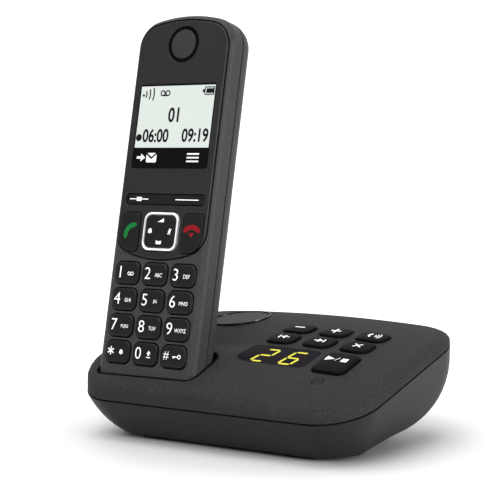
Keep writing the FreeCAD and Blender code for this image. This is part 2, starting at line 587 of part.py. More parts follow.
panel = panel.cut(stub(EAR_R, 10, 0, EAR_Y, -5, 24))
front = front.cut(stub(EAR_R - 1.2, 10, 0, EAR_Y, -5))
ear = stub(EAR_R - 0.2, 0.7, 0, EAR_Y, -PANEL_T, 24)
ear = ear.fuse(stub(EAR_DISC, 1.4, 0, EAR_Y, -PANEL_T, 24))
emit("earpiece_disc", ear.removeSplitter(), HS)
emit("earpiece_driver", stub(EAR_R - 1.6, -PANEL_T - PCB_TOP, 0, EAR_Y, PCB_TOP), HS)

gap = hole(SOFT_W, SOFT_H, 0.9, -5, 5, 0, SOFT_Y)
panel, front = panel.cut(gap), front.cut(gap)
emit("softkey_bar", cap(SOFT_W, SOFT_H, 0.9, HS_KEY_BOT + 0.4, -0.35, 0, SOFT_Y, bevel=0.3), HS)

nw, nh = NAV_W, NAV_H
gap = hole(nw, nh, NAV_R, -5, 5, 0, NAV_Y)
panel, front = panel.cut(gap), front.cut(gap)
rim = cap(nw, nh, NAV_R, HS_KEY_BOT + 0.4, 0.7, 0, NAV_Y, bevel=0.4)
bore = cap(nw - 2 * NAV_RIM, nh - 2 * NAV_RIM, NAV_R - 0.8, -1.0, 5, 0, NAV_Y, bevel=0.1)
emit("nav_key_frame", rim.cut(bore), HS)
emit("nav_key_cap", cap(nw - 2 * NAV_RIM, nh - 2 * NAV_RIM, NAV_R - 0.8, -1.0, 0.9, 0, NAV_Y), HS)
pivot_z = PCB_TOP + NAV_PLAY
emit("nav_pivot", stub(2.0, HS_KEY_BOT + 0.1 - pivot_z, 0, NAV_Y, pivot_z, 12), HS)

for side, name in ((-1, "talk_key"), (1, "end_key")):
    gap = call_shape(side, RUN, -5, 5)
    panel, front = panel.cut(gap), front.cut(gap)
    emit(name, call_shape(side, 0, HS_KEY_BOT, 0.5), HS)
emit("handset_upper_panel", panel, HS)

legends = ("key_1", "key_2", "key_3", "key_4", "key_5", "key_6", "key_7", "key_8", "key_9",
           "key_star", "key_0", "key_hash")
for n, name in enumerate(legends):
    x, y = (n % 3 - 1) * PITCH_X, (1.5 - n // 3) * PITCH_Y
    front = front.cut(hole(KEY_W, KEY_H, KEY_R, -5, 5, x, y))
    emit(name, cap(KEY_W, KEY_H, KEY_R, HS_KEY_BOT, KEY_RISE, x, y, bevel=0.5), HS)
front = front.cut(stub(MIC_R, 10, 0, MIC_Y, -5, 8))
emit("handset_front_shell", front, HS)

mat = box(3 * PITCH_X - 0.6, 4 * PITCH_Y, HS_MAT_T, 0, 0, PCB_TOP)
mat = mat.fuse(box(2 * CALL_X1 + 0.4, CALL_Y1 - 4 * PITCH_Y / 2 + 1, HS_MAT_T, 0,
                   (CALL_Y1 + 4 * PITCH_Y / 2) / 2, PCB_TOP)).removeSplitter()
mat = mat.cut(stub(2.5, 5, 0, NAV_Y, PCB_TOP - 1, 8))
emit("handset_key_mat", mat, HS)
pcb = arched(inside - 0.4, HS_BOT + HS_WALL + 0.4, HS_TOP - HS_WALL - 3.4, HS_RB - HS_WALL - 0.4,
             HS_RT - HS_WALL - 0.4, HS_ARCH - HS_WALL, PCB_TOP - PCB_T)
emit("handset_circuit_board", prism(flats_of(pcb), PCB_T), HS)

# ---- handset back -------------------------------------------------------------------
mid = (COVER_Y0 + COVER_Y1) / 2
rear = rear.cut(box(2 * COVER_HW + 2 * SEAT, COVER_Y1 - COVER_Y0 + 2 * SEAT, 5,
                    0, mid, -HS_T + COVER_T - 5))
rear = rear.cut(box(2 * COVER_HW - 2.4, COVER_Y1 - COVER_Y0 - 3, 9, 0, mid, -HS_T - 2))
cover = box(2 * COVER_HW, COVER_Y1 - COVER_Y0, COVER_T, 0, mid, -HS_T)
for k in range(3):
    cover = cover.cut(box(10, 0.8, 0.4, 0, COVER_Y1 - 6 - 2.2 * k, -HS_T - 0.1))
emit("battery_cover", cover, HS)
cell_n = -HS_T + HS_WALL + CELL_R + 0.05
for sx, side in ((-1, "left"), (1, "right")):
    along = placement(V(sx * CELL_X, CELL_Y - CELL_L / 2, cell_n), V(0, 1, 0), V(0, 0, 1))
    cell = stub(CELL_R, CELL_L - 1.0).fuse(stub(1.8, CELL_L, n=10)).removeSplitter()
    emit("battery_cell_" + side, cell, HS.multiply(along))
for sy in (-1, 1):
    wall_y = CELL_Y + sy * (CELL_L / 2 + 0.5 + 0.7)
    rear = rear.fuse(box(2 * COVER_HW + 4, 1.4, 2 * CELL_R, 0, wall_y, -HS_T + HS_WALL - 0.2))
tabs = box(4 * CELL_X, 0.5, 7.0, 0, CELL_Y - CELL_L / 2 - 0.25, cell_n - 3.5)
tabs = tabs.fuse(box(4 * CELL_X, 0.5, 7.0, 0, CELL_Y + CELL_L / 2 + 0.25, cell_n - 3.5))
tabs = tabs.fuse(box(0.5, CELL_L + 1, 7.0, 2 * CELL_X + 0.25, CELL_Y, cell_n - 3.5))
emit("battery_contacts", tabs.removeSplitter(), HS)
for sx, side in ((-1, "left"), (1, "right")):
    x = sx * PAD_X
    rear = rear.cut(Part.makeBox(6.4, 1.0, 3.4, V(x - 3.2, HS_BOT - 0.4, PAD_N - 1.7)))
    pad = Part.makeBox(6.0, 0.6, 3.0, V(x - 3.0, HS_BOT, PAD_N - 1.5))
    emit("charge_pad_" + side, pad, HS)
emit("handset_rear_shell", rear, HS)

for name, shape in PARTS.items():
    shape.exportStep("parts/" + name + ".step")
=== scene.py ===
"""Looks of a cordless telephone standing in its answering-machine base.

Lengths are in millimetres until a mesh is made, and MM turns them into the frame's metres.
The base is drawn with y measured from its front edge, as the CAD model is.
The handset is drawn flat (x across, y up its length, z out of its face) and placed by HANDSET.
"""
import json
import math

import bmesh
import bpy
from mathutils import Matrix, Vector


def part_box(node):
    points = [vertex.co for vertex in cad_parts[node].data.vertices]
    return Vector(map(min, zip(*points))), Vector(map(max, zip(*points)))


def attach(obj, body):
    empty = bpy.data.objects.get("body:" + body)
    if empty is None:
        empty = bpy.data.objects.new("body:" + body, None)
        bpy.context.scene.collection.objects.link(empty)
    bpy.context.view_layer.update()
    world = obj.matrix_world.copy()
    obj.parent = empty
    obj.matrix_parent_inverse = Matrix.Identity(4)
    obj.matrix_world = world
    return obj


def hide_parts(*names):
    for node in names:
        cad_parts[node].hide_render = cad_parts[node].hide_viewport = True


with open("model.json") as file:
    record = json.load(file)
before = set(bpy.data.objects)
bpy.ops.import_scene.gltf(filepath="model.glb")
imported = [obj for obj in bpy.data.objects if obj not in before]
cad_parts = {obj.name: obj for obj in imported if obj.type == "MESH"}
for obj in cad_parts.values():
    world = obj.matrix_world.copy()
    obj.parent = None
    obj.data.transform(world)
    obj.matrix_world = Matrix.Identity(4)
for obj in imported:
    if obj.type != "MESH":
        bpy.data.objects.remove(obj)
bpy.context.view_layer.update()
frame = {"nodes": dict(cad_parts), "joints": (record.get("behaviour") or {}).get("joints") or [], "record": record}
MM = 0.001

# ---- sizes shared with the CAD model ----
BASE_W, BASE_D, BASE_R = 134.0, 92.0, 20.0
PART_Z0, PART_TILT, TOP_BACK_RISE = 15.5, 15.9, 4.6
TOP_A, TOP_B, CROWN_R, CROWN_X = 0.075, 0.0021, 800.0, -3.0
WALL, EDGE_R, FOOT_H = 2.2, 3.4, 1.5
HULL_Z, HULL_A, HULL_FRONT, HULL_CORNER, GROOVE = 36.0, 30.0, 0.72, 0.3, 0.7
COLLAR_Z0, COLLAR_SLOPE, COLLAR_MAX, COLLAR_SOFT, COLLAR_DROP = 24.1, 0.45, 35.6, 2.0, 0.8
COLLAR_REACH, COLLAR_TAPER, TAPER_Y, COLLAR_END, COLLAR_FADE = 26.5, 0.62, 25.0, 30.0, 16.0
HS_W, HS_T, HS_BOT, HS_TOP, HS_ARCH = 48.0, 19.2, -32.5, 123.0, 66.0
HS_RB, HS_RT, HS_FRONT_R, HS_REAR_R = 10.5, 11.5, 3.2, 10.0
HS_SEAM, HS_WALL, FIT, CUP, RUN = 8.5, 1.8, 0.6, 1.2, 0.3
KEY_W, KEY_H, KEY_R, KEY_RISE, KEY_BOT = 12.2, 9.0, 2.8, 0.8, -3.0
PITCH_X, PITCH_Y = 14.0, 10.7
PANEL_HW, PANEL_BOT, PANEL_TOP, PANEL_T = 22.3, 22.1, HS_TOP - 2.5, 1.4
PANEL_RB, PANEL_ARCH = 9.0, 50.0
LENS_W, LENS_H, LENS_Y, LENS_R = 38.4, 34.8, 76.6, 1.2
EAR_Y, EAR_R, EAR_DISC = PANEL_TOP - 9.9, 7.7, 6.0
SOFT_W, SOFT_H, SOFT_Y, SOFT_R = 38.4, 4.0, 46.5, 0.9
NAV_W, NAV_H, NAV_Y, NAV_RIM, NAV_R = 17.3, 15.6, 33.4, 1.2, 3.4
CALL_X0, CALL_X1, CALL_Y0, CALL_Y1 = 10.9, 20.6, 25.0, 40.8
CALL_R, CALL_BIG_R, CALL_RISE = 1.6, 6.2, 0.4
COVER_HW, COVER_Y0, COVER_Y1, COVER_T = 12.4, -2.5, 60.0, 1.0
BK_W, BK_D, BK_R, BK_RISE = 13.0, 10.6, 3.8, 1.1
FLOOR_GAP, PAD_X, PAD_N, PAD_W, PAD_D = 0.3, 9.0, -10.3, 6.4, 3.4
FOOT_W, FOOT_D, FOOT_R, FOOT_INSET, SCREW_X = 14.0, 8.0, 2.5, 33.0, 20.0
LINE_X, LINE_W, LINE_H, JACK_X, JACK_R = 22.0, 12.4, 9.6, 4.0, 3.9

# ---- sizes of the looks alone ----
DEEP = 9.0  # how deep key openings are cut
KEY_GAP = RUN + 0.15  # room round a key
GROOVE_IN, SEAM_IN = 1.3, 0.9  # depth of the base's and the handset's joint line
WELL_R, WELL_FRONT = 7.2, 0.2  # the well is squarer behind, and wider in front
SHADE_RING_W = 0.65  # room for the dark ring at the well's mouth, which paints the shadow in the gap
ABOVE = 60.0  # place along the handset that is clear of the base
PANEL_ROOM, PANEL_IN = 0.6, 0.15  # opening round the panel, and the panel's inset
KEY_DROP, KEY_DOME = 0.12, 0.16  # a number key's rim lies lower, its middle swells
BK_DROP, BK_DOME = 0.15, 0.25  # the same for a key on the base
RIM_X, RIM_Y = 0.012, 0.018  # the speaker's rim is proud to the front right
WIN_T, MARK_T = 1.4, 0.22  # depth of the window, and of a printed mark
SHARP = 32.0  # edges of more than these degrees stay sharp

TILT = math.tan(math.radians(PART_TILT))
TOP_BACK = PART_Z0 + BASE_D * TILT + TOP_BACK_RISE
SOCKET_Z = TOP_BACK - 15.3
WELL_FLOOR = HS_BOT - FLOOR_GAP
FOOT_X, FOOT_Y, FOOT_TOP = BASE_W / 2 - FOOT_INSET, (19.0, BASE_D - 30), FOOT_H + 0.6
SCREW_Y = sum(FOOT_Y) / 2
HS_X = 34.4 - BASE_W / 2
CUP_SIDE = HS_X + HS_W / 2 + FIT + CUP
BK_X = [HS_X + k for k in (38.1, 55.4, 72.7)]
BK_Y = [BASE_D - k for k in (41.7, 29.5)]
BIG_X, BIG_Y, BIG_W, BIG_D, BIG_R = BK_X[2], BASE_D - 58.2, 14.6, 16.6, 3.0
POWER_X, POWER_Y, POWER_R = BK_X[2], BASE_D - 71.8, 2.1
WIN_X, WIN_Y, WIN_W, WIN_D, WIN_R = HS_X + 45.8, BASE_D - 57.2, 32.0, 15.8, 3.0
DISC_X, DISC_Y, DISC_R, DISC_DEPTH = HS_X, BASE_D - 17.7, 13.2, 1.3
COVER_MID = (COVER_Y0 + COVER_Y1) / 2


def centre(node):
    """Middle of a CAD node, in millimetres."""
    low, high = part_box(node)
    return (low + high) / 2 / MM


BASE = Matrix.Translation((0, -BASE_D / 2, 0))


def axes(origin, x, y, z):
    """Placement with its origin and its three axes."""
    m = Matrix((x, y, z)).transposed().to_4x4()
    m.translation = origin
    return m


UP = Vector(next(j["axis"] for j in frame["joints"] if j["name"] == "handset_lift")).normalized()
ACROSS = Vector((1, 0, 0))
FACE = ACROSS.cross(UP)
HANDSET = axes((centre("key_5") + centre("key_8")) / 2 - FACE * (KEY_BOT + KEY_RISE) / 2,
               ACROSS, UP, FACE)


def smooth_step(t):
    t = max(0.0, min(1.0, t))
    return t * t * (3 - 2 * t)


def top_z(x, y):
    """Height of the base's top: a crowned panel and the raised rim round the well."""
    u, soft = BASE_D - y, COLLAR_SOFT
    panel = TOP_BACK - TOP_A * u - TOP_B * u * u - (x - CROWN_X) ** 2 / (2 * CROWN_R)
    rim = COLLAR_Z0 + COLLAR_SLOPE * y
    rim = -soft * math.log(math.exp(-rim / soft) + math.exp(-COLLAR_MAX / soft))
    extra = soft * math.log(1 + math.exp((rim - panel - COLLAR_DROP) / soft))
    reach = COLLAR_REACH - COLLAR_TAPER * max(0.0, min(TAPER_Y, y))
    side = 1 - smooth_step((x - CUP_SIDE - RUN) / reach)
    return panel + extra * side * (1 - smooth_step((y - COLLAR_END) / COLLAR_FADE))


def on_top(x, y):
    """Frame on the top surface: z is the surface normal, y runs to the back."""
    e = 1.5
    dzx = (top_z(x + e, y) - top_z(x - e, y)) / (2 * e)
    dzy = (top_z(x, y + e) - top_z(x, y - e)) / (2 * e)
    z = Vector((-dzx, -dzy, 1)).normalized()
    side = Vector((0, 1, dzy)).cross(z).normalized()
    return BASE @ axes((x, y, top_z(x, y)), side, z.cross(side), z)


# ---- mesh helpers ----
def link(obj):
    bpy.context.scene.collection.objects.link(obj)


def raw(name, points, faces, place=BASE):
    """Closed mesh from points in mm."""
    mesh = bpy.data.meshes.new(name)
    mesh.from_pydata([(place @ Vector(p)) * MM for p in points], [], faces)
    obj = bpy.data.objects.new(name, mesh)
    link(obj)
    turn_out(mesh)
    return obj


def turn_out(mesh):
    """Merges points that coincide and turns every face outward."""
    bm = bmesh.new()
    bm.from_mesh(mesh)
    bmesh.ops.remove_doubles(bm, verts=bm.verts, dist=1e-7)
    bmesh.ops.recalc_face_normals(bm, faces=bm.faces)
    bm.to_mesh(mesh)
    bm.free()


def loft(rows, low=True, high=True):
    """Points and faces of a skin over closed rows with equal counts."""
    n = len(rows[0])
    points = [p for row in rows for p in row]
    faces = [(k * n + i, k * n + (i + 1) % n, (k + 1) * n + (i + 1) % n, (k + 1) * n + i)
             for k in range(len(rows) - 1) for i in range(n)]
    if low:
        faces.append(tuple(reversed(range(n))))
    if high:
        faces.append(tuple(range((len(rows) - 1) * n, len(rows) * n)))
    return points, faces


def cut(obj, cutters, operation="DIFFERENCE"):
    """Applies the cutters to obj, one after the other, and deletes them."""
    for cutter in cutters:
        mod = obj.modifiers.new("cut", "BOOLEAN")
        mod.operation, mod.solver, mod.object = operation, "EXACT", cutter
        graph = bpy.context.evaluated_depsgraph_get()
        mesh = bpy.data.meshes.new_from_object(obj.evaluated_get(graph))
        obj.modifiers.clear()
        obj.data = mesh
        if len(mesh.polygons) < 12:
            raise RuntimeError("a cut emptied " + obj.name)
        bpy.data.objects.remove(cutter)
    return obj


def joined(parts):
    """The first object, with the meshes of the others that lie clear of it."""
    whole = bmesh.new()
    for part in parts:
        whole.from_mesh(part.data)
    whole.to_mesh(parts[0].data)
    whole.free()
    for part in parts[1:]:
        bpy.data.objects.remove(part)
    return parts[0]


def dress(obj, material, body, nodes=(), weigh=True):
    """Shading, material and body of a piece; hides the CAD nodes that it stands for."""
    obj.data.materials.clear()
    obj.data.materials.append(material)
    obj.data.shade_smooth()
    obj.data.set_sharp_from_angle(angle=math.radians(SHARP))
    if weigh:
        mod = obj.modifiers.new("weigh", "WEIGHTED_NORMAL")
        mod.keep_sharp = True
    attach(obj, body)
    if nodes:
        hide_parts(*nodes)
    return obj


def arc(cx, cy, r, a0, a1, n):
    """Points along an arc, angles in degrees."""
    return [(cx + r * math.cos(math.radians(a0 + (a1 - a0) * k / n)),
             cy + r * math.sin(math.radians(a0 + (a1 - a0) * k / n))) for k in range(n + 1)]


def dot(cx, cy, r, n=20):
    return arc(cx, cy, r, 0, 360, n)[:-1]


def rounded(w, d, r, cx=0.0, cy=0.0, n=8, nx=1, ny=1):
    """Rounded rectangle; nx and ny divide its straight sides."""
    r = min(r, w / 2 - 0.01, d / 2 - 0.01)
    hw, hd = w / 2 - r, d / 2 - r
    corners = [arc(cx + sx * hw, cy + sy * hd, r, a0, a0 + 90, n)
               for sx, sy, a0 in ((1, -1, -90), (1, 1, 0), (-1, 1, 90), (-1, -1, 180))]
    out = []
    for k, corner in enumerate(corners):
        (x0, y0), (x1, y1) = corner[-1], corners[(k + 1) % 4][0]
        parts = (ny, nx)[k % 2]
        out += corner + [(x0 + (x1 - x0) * i / parts, y0 + (y1 - y0) * i / parts)
                         for i in range(1, parts)]
    return out


def arched(hw, bot, top, rb, rt, arch, bot_arch=None, n=14):
    """Outline with an arched top; the lower end is straight or arched too."""
    def corner_and_arch(end, sign, rc, ra):
        cy = end - sign * ra
        rise = math.sqrt((ra - rc) ** 2 - (hw - rc) ** 2)
        return cy, cy + sign * rise, math.degrees(math.atan2(rise, hw - rc))
    cy, oy, lift = corner_and_arch(top, 1, rt, arch)
    out = arc(hw - rt, oy, rt, 0, lift, n) + arc(0, cy, arch, lift, 180 - lift, 2 * n)[1:-1]
    out += arc(-hw + rt, oy, rt, 180 - lift, 180, n)
    if bot_arch:
        cy, oy, lift = corner_and_arch(bot, -1, rb, bot_arch)
        out += arc(-hw + rb, oy, rb, 180, 180 + lift, n)
        out += arc(0, cy, bot_arch, 180 + lift, 360 - lift, 2 * n)[1:-1]
        out += arc(hw - rb, oy, rb, 360 - lift, 360, n)
    else:
        out += arc(-hw + rb, bot + rb, rb, 180, 270, n) + arc(hw - rb, bot + rb, rb, 270, 360, n)
    return out


def at(outline, z):
    return [(x, y, z) for x, y in outline]


def block(name, outline, z0, z1, place):
    """Straight solid with the given outline."""
    return raw(name, *loft([at(outline, z0), at(outline, z1)]), place)


def turned(name, profile, place, cx=0.0, cy=0.0, n=64):
    """Solid of revolution: profile lists radius and height from one end to the other."""
    return raw(name, *loft([at(dot(cx, cy, r, n), z) for r, z in profile]), place)


def hoop(name, rows, place):
    """Ring: a skin over the rows and back to the first one."""
    return raw(name, *loft(rows + rows[:1], False, False), place)


def flare(make, place, depth, gap, lip):
    """Cutter whose outline make(offset) opens out at the surface."""
    rows = [at(make(g), z) for z, g in ((-depth, gap), (-lip, gap), (lip * 2, gap + lip * 3))]
    return raw("cutter", *loft(rows), place)


def key_hole(w, d, r, place, lip=0.05, cx=0.0, cy=0.0):
    """Flared cutter for a key."""
    return flare(lambda g: rounded(w + 2 * g, d + 2 * g, r + g, cx, cy), place, DEEP, KEY_GAP, lip)


def round_hole(r, depth, place, lip, cx=0.0, cy=0.0, n=48):
    """Flared round cutter."""
    return flare(lambda g: dot(cx, cy, r + g, n), place, depth, 0.0, lip)


def roll(r, steps):
    """Insets and drops along a quarter round, from its foot to its top."""
    turns = [math.pi / 2 * k / steps for k in range(steps + 1)]
    return [(r * (1 - math.cos(a)), r * (1 - math.sin(a))) for a in turns]


def stack(name, make, z0, z1, edge, place, dome=0.0, rings=0, steps=4):
    """Solid whose upper edge is rolled; make(inset) gives the outline."""
    rows = [at(make(0.0), z0)] + [at(make(i), z1 - drop) for i, drop in roll(edge, steps)]
    last = rows[-1]
    cx = sum(p[0] for p in last) / len(last)
    cy = sum(p[1] for p in last) / len(last)
    for k in range(1, rings + 1):
        s = 1 - k / (rings + 1)
        rows.append([(cx + (x - cx) * s, cy + (y - cy) * s, z1 + dome * (1 - s * s))
                     for x, y, _ in last])
    return raw(name, *loft(rows), place)


# ---- materials ----
def noise(tree, scale, detail):
    """Value of a noise in the object's own space."""
    place = tree.nodes.new("ShaderNodeTexCoord")
    cloud = tree.nodes.new("ShaderNodeTexNoise")
    cloud.inputs["Scale"].default_value = scale
    cloud.inputs["Detail"].default_value = detail
    tree.links.new(place.outputs["Object"], cloud.inputs["Vector"])
    return cloud.outputs["Fac"]


def plastic(name, colour, rough, grain=0.0, scale=900.0, spread=0.08, shine=0.5, speckle=0.0):
    """Moulded plastic: fine moulded grain, and a roughness that varies a little."""
    mat = bpy.data.materials.new(name)
    mat.use_nodes = True
    tree = mat.node_tree
    shader = tree.nodes["Principled BSDF"]
    shader.inputs["Specular IOR Level"].default_value = shine
    cloud = noise(tree, 60.0, 4.0)
    tint = tree.nodes.new("ShaderNodeValToRGB")
    tint.color_ramp.elements[0].color = (*[c * (1 - spread) for c in colour], 1)
    tint.color_ramp.elements[1].color = (*[c * (1 + spread) for c in colour], 1)
    tree.links.new(cloud, tint.inputs["Fac"])
    tree.links.new(tint.outputs["Color"], shader.inputs["Base Color"])
    if speckle:
        both = tree.nodes.new("ShaderNodeMix")
        both.inputs["Factor"].default_value = speckle
        tree.links.new(cloud, both.inputs["A"])
        tree.links.new(noise(tree, 1500.0, 1.0), both.inputs["B"])
        tree.links.new(both.outputs["Result"], tint.inputs["Fac"])
    wear = tree.nodes.new("ShaderNodeMapRange")
    wear.inputs["To Min"].default_value = rough - 0.04
    wear.inputs["To Max"].default_value = rough + 0.04
    tree.links.new(cloud, wear.inputs["Value"])
    tree.links.new(wear.outputs["Result"], shader.inputs["Roughness"])
    if grain:
        bump = tree.nodes.new("ShaderNodeBump")
        bump.inputs["Strength"].default_value = grain
        bump.inputs["Distance"].default_value = 0.0001
        tree.links.new(noise(tree, scale, 2.0), bump.inputs["Height"])
        tree.links.new(bump.outputs["Normal"], shader.inputs["Normal"])
    return mat


def speckled(name, colour, rough, grain, shine, spread=0.7):
    """Plastic of the shells, with a speckle in its colour."""
    return plastic(name, colour, rough, grain, 1300.0, spread, shine, 0.8)


def metal(name, colour, rough, metallic=1.0):
    """Plain metal; where metallic is lower, the diffuse part is painted reflection."""
    mat = plastic(name, colour, rough, spread=0.04)
    mat.node_tree.nodes["Principled BSDF"].inputs["Metallic"].default_value = metallic
    return mat


def glow(name, colour, strength):
    """Plastic that shines by itself, such as a lit display."""
    mat = plastic(name, [c * 0.4 for c in colour], 0.5, shine=0.2)
    shader = mat.node_tree.nodes["Principled BSDF"]
    shader.inputs["Emission Color"].default_value = (*colour, 1)
    shader.inputs["Emission Strength"].default_value = strength
    return mat


SHELL = speckled("shell_plastic", (0.0272, 0.0279, 0.0267), 0.55, 0.45, 0.02)
# The lower hull has the shell's plastic at half its brightness: that darker colour is painted shade.
SHADED_HULL = speckled("hull_plastic_painted_dark", (0.0135, 0.0139, 0.0133), 0.5, 0.45, 0.2)
# The speaker disc has the shell's plastic made a little lighter: that lightness is painted light.
LIGHTER_DISC = speckled("disc_plastic_painted_light", (0.0285, 0.0292, 0.028), 0.5, 0.35, 0.05, 0.5)
BODY = speckled("handset_plastic", (0.0335, 0.0343, 0.033), 0.52, 0.35, 0.15)
PANEL = plastic("panel_plastic", (0.0130, 0.0136, 0.0130), 0.36, grain=0.08, shine=0.28)
KEY = plastic("key_plastic", (0.0060, 0.0063, 0.0060), 0.42, grain=0.15, shine=0.18)
BASE_KEY = plastic("base_key_plastic", (0.0045, 0.0047, 0.0045), 0.42, grain=0.1, shine=0.012)
INK = plastic("white_ink", (0.93, 0.93, 0.92), 0.5, grain=0.05, spread=0.02)
GREEN = plastic("green_ink", (0.005, 0.13, 0.028), 0.45, grain=0.05, shine=0.15)
RED = plastic("red_ink", (0.2, 0.004, 0.008), 0.45, grain=0.05, shine=0.15)
# The rim is only half metallic: its diffuse white is painted reflection.
CHROME = metal("chrome_rim_painted_bright", (0.9, 0.9, 0.91), 0.2, 0.5)
# The speaker rim's black also paints the shade of the gap round the disc.
GLOSS_RIM = plastic("gloss_rim", [0.002] * 3, 0.2, shine=0.4)
# Black for print and the earpiece ring; on the ring at the well's mouth it is painted shade.
INK_AND_SHADE_BLACK = plastic("dark_ink_and_painted_shade", [0.003] * 3, 0.5, shine=0.02)
EAR_FACE = plastic("earpiece_plastic", (0.021, 0.0218, 0.0205), 0.4, grain=0.15, shine=0.3)
STEEL = metal("screw_steel", [0.5] * 3, 0.35)
GOLD = metal("contact_gold", (0.85, 0.62, 0.3), 0.25)
SCREEN_GLASS = plastic("screen_surround", [0.002] * 3, 0.3, shine=0.1)
SCREEN = glow("screen_field", (0.62, 0.67, 0.635), 0.62)
SCREEN_WHITE = glow("screen_white", (0.85, 0.88, 0.86), 0.75)
SCREEN_INK = plastic("screen_ink", [0.004] * 3, 0.5, shine=0.1)
SMOKED = plastic("smoked_window", (0.006, 0.005, 0.008), 0.35, shine=0.01)
LIT = glow("lit_segment", (0.72, 0.66, 0.045), 0.8)
UNLIT = plastic("unlit_segment", (0.026, 0.006, 0.005), 0.5, shine=0.02)
RUBBER = plastic("foot_rubber", [0.02] * 3, 0.85, grain=0.4)
MAT_RUBBER = plastic("mat_rubber", [0.2] * 3, 0.8, grain=0.2)
BOARD = plastic("board_green", (0.02, 0.13, 0.05), 0.5, grain=0.1)
DULL = plastic("inner_grey", [0.12] * 3, 0.6, grain=0.1)
CONE = plastic("speaker_black", [0.012] * 3, 0.7, grain=0.3)
CELL = plastic("cell_wrap", (0.05, 0.11, 0.22), 0.3, spread=0.05)

SLOT_LOOK = {
    "base_plastic": SHELL, "handset_plastic": BODY, "gloss_panel": PANEL, "key_plastic": KEY,
    "rubber_foot": RUBBER, "key_rubber": MAT_RUBBER, "board": BOARD, "steel": STEEL,
    "gold": GOLD, "chrome_rim": CHROME, "display_glass": SCREEN_GLASS, "counter_glass": SMOKED,
    "display_part": DULL, "speaker_part": CONE, "cell_wrap": CELL, "socket_plastic": BASE_KEY}
for sub in frame["record"]["subparts"]:
    node = frame["nodes"][sub["node"]]
    node.data.materials.clear()
    node.data.materials.append(SLOT_LOOK[sub["material_slot"]])


# ---- base ----
def parting(y):
    """Height of the joint plane between the base's two shells."""
    return PART_Z0 + y * TILT


def top_block(name, inset, drop, groove, below=0.0):
    """Top shell as a closed block, drawn in by inset, lowered by drop, grown down by below."""
    corner, nx, ny, step = 8, 60, 40, 1.2
    def ring(i):
        r = max(BASE_R - inset * 0.8 - 0.85 * i, 0.8)
        return rounded(BASE_W - 2 * (inset + i), BASE_D - 2 * (inset + i), r, 0, BASE_D / 2,
                       corner, nx, ny)
    def edge(x, y):
        top = top_z(x, y) - drop
        return top, min(EDGE_R, 0.6 * (top - parting(y)))
    edge_in = ring(groove)
    rows = [[(x, y, parting(y) - below) for x, y in edge_in]]
    if groove:
        rows.append([(x, y, parting(y) + GROOVE) for x, y in edge_in])
        rows.append([(x, y, parting(y) + GROOVE) for x, y in ring(0)])
    for i, fall in roll(1.0, 6):
        rows.append([])
        for x, y in ring(EDGE_R * i):
            top, h = edge(x, y)
            rows[-1].append((x, y, top - h * fall))
    i = EDGE_R
    while BASE_D / 2 - inset - i > 1.5 * step:
        i += step
        rows.append([(x, y, top_z(x, y) - drop) for x, y in ring(i)])
    points, faces = loft(rows, high=False)
    base, last = (len(rows) - 1) * len(rows[0]), rows[-1]
    n = len(last)
    mirror = {(round(x, 3), round(y, 3)): k for k, (x, y, _) in enumerate(last)}
    twin = [mirror[(round(x, 3), round(BASE_D - y, 3))] for x, y, _ in last]
    for k in range(n):
        j = (k + 1) % n
        if last[k][1] + last[j][1] < BASE_D:
            quad = [base + q for q in dict.fromkeys((k, j, twin[j], twin[k]))]
            if len(quad) > 2:
                faces.append(tuple(quad))
    return raw(name, points, faces)


def hull_law(z):
    """How far the hull has drawn in at a height."""
    t = max(0.0, min(1.0, (HULL_Z - z) / HULL_Z))
    return HULL_A * (1 - math.sqrt(1 - t * t))


def hull_block(name, inset, z_bot):
    """Lower hull as a closed block from the joint plane to its flat bottom."""
    rows, corner = 16, 14
    def reach(y, t):
        return hull_law(parting(y) * (1 - t) + z_bot * t) - hull_law(parting(y))
    out = []
    for k in range(rows + 1):
        t = math.sin(math.pi / 2 * k / rows)
        front, back = HULL_FRONT * reach(0.0, t) + inset, reach(BASE_D, t) + inset
        row = []
        for sx, back_side, i, a0 in ((1, 0, front, -90), (1, 1, back, 0), (-1, 1, back, 90),
                                     (-1, 0, front, 180)):
            r = BASE_R - inset - HULL_CORNER * (i - inset)
            row += arc(sx * (BASE_W / 2 - i - r), BASE_D - i - r if back_side else i + r, r,
                       a0, a0 + 90, corner)
        out.append([(x, y, parting(y) * (1 - t) + z_bot * t) for x, y in row])
    return raw(name, *loft(out))


def section_loop(off):
    """Cross section of the well, grown by off, as x and z pairs in the handset's own frame."""
    n, hw = 10, HS_W / 2 + off
    rf, rb, back, front = HS_FRONT_R + off, WELL_R + off, -HS_T - off, off + WELL_FRONT
    loop = arc(hw - rf, front - rf, rf, 90, 0, n) + arc(hw - rb, back + rb, rb, 0, -90, n)
    loop += arc(-hw + rb, back + rb, rb, -90, -180, n)
    return loop + arc(-hw + rf, front - rf, rf, 180, 90, n)


def section(name, off, l0, l1):
    """Bar along the handset with the well's cross section, grown by off."""
    return raw(name, *loft([[(x, l, z) for x, z in section_loop(off)] for l in (l0, l1)]), HANDSET)


def surface_along(x, z):
    """Place along the handset, in its own frame, where it comes through the base's top."""
    low, high = HS_BOT, ABOVE
    for _ in range(30):
        middle = (low + high) / 2
        p = HANDSET @ Vector((x, middle, z))
        low, high = (middle, high) if p.z < top_z(p.x, p.y + BASE_D / 2) else (low, middle)
    return low


def mouth_row(off, lift):
    """Loop round the well's mouth, grown by off and lifted from the base's top."""
    return [(x, surface_along(x, z) + lift, z) for x, z in section_loop(off)]


def well_cutter():
    """Room of the well and of the painted shade ring at its mouth."""
    wide = FIT + SHADE_RING_W
    rows = [[(x, WELL_FLOOR, z) for x, z in section_loop(FIT)]]
    rows += [mouth_row(off, lift) for off, lift in
             ((FIT, -WALL - 1), (wide, -WALL - 0.9), (wide, -0.1), (wide + 0.3, 0.3), (wide + 0.3, 4))]
    return raw("cutter", *loft(rows), HANDSET)


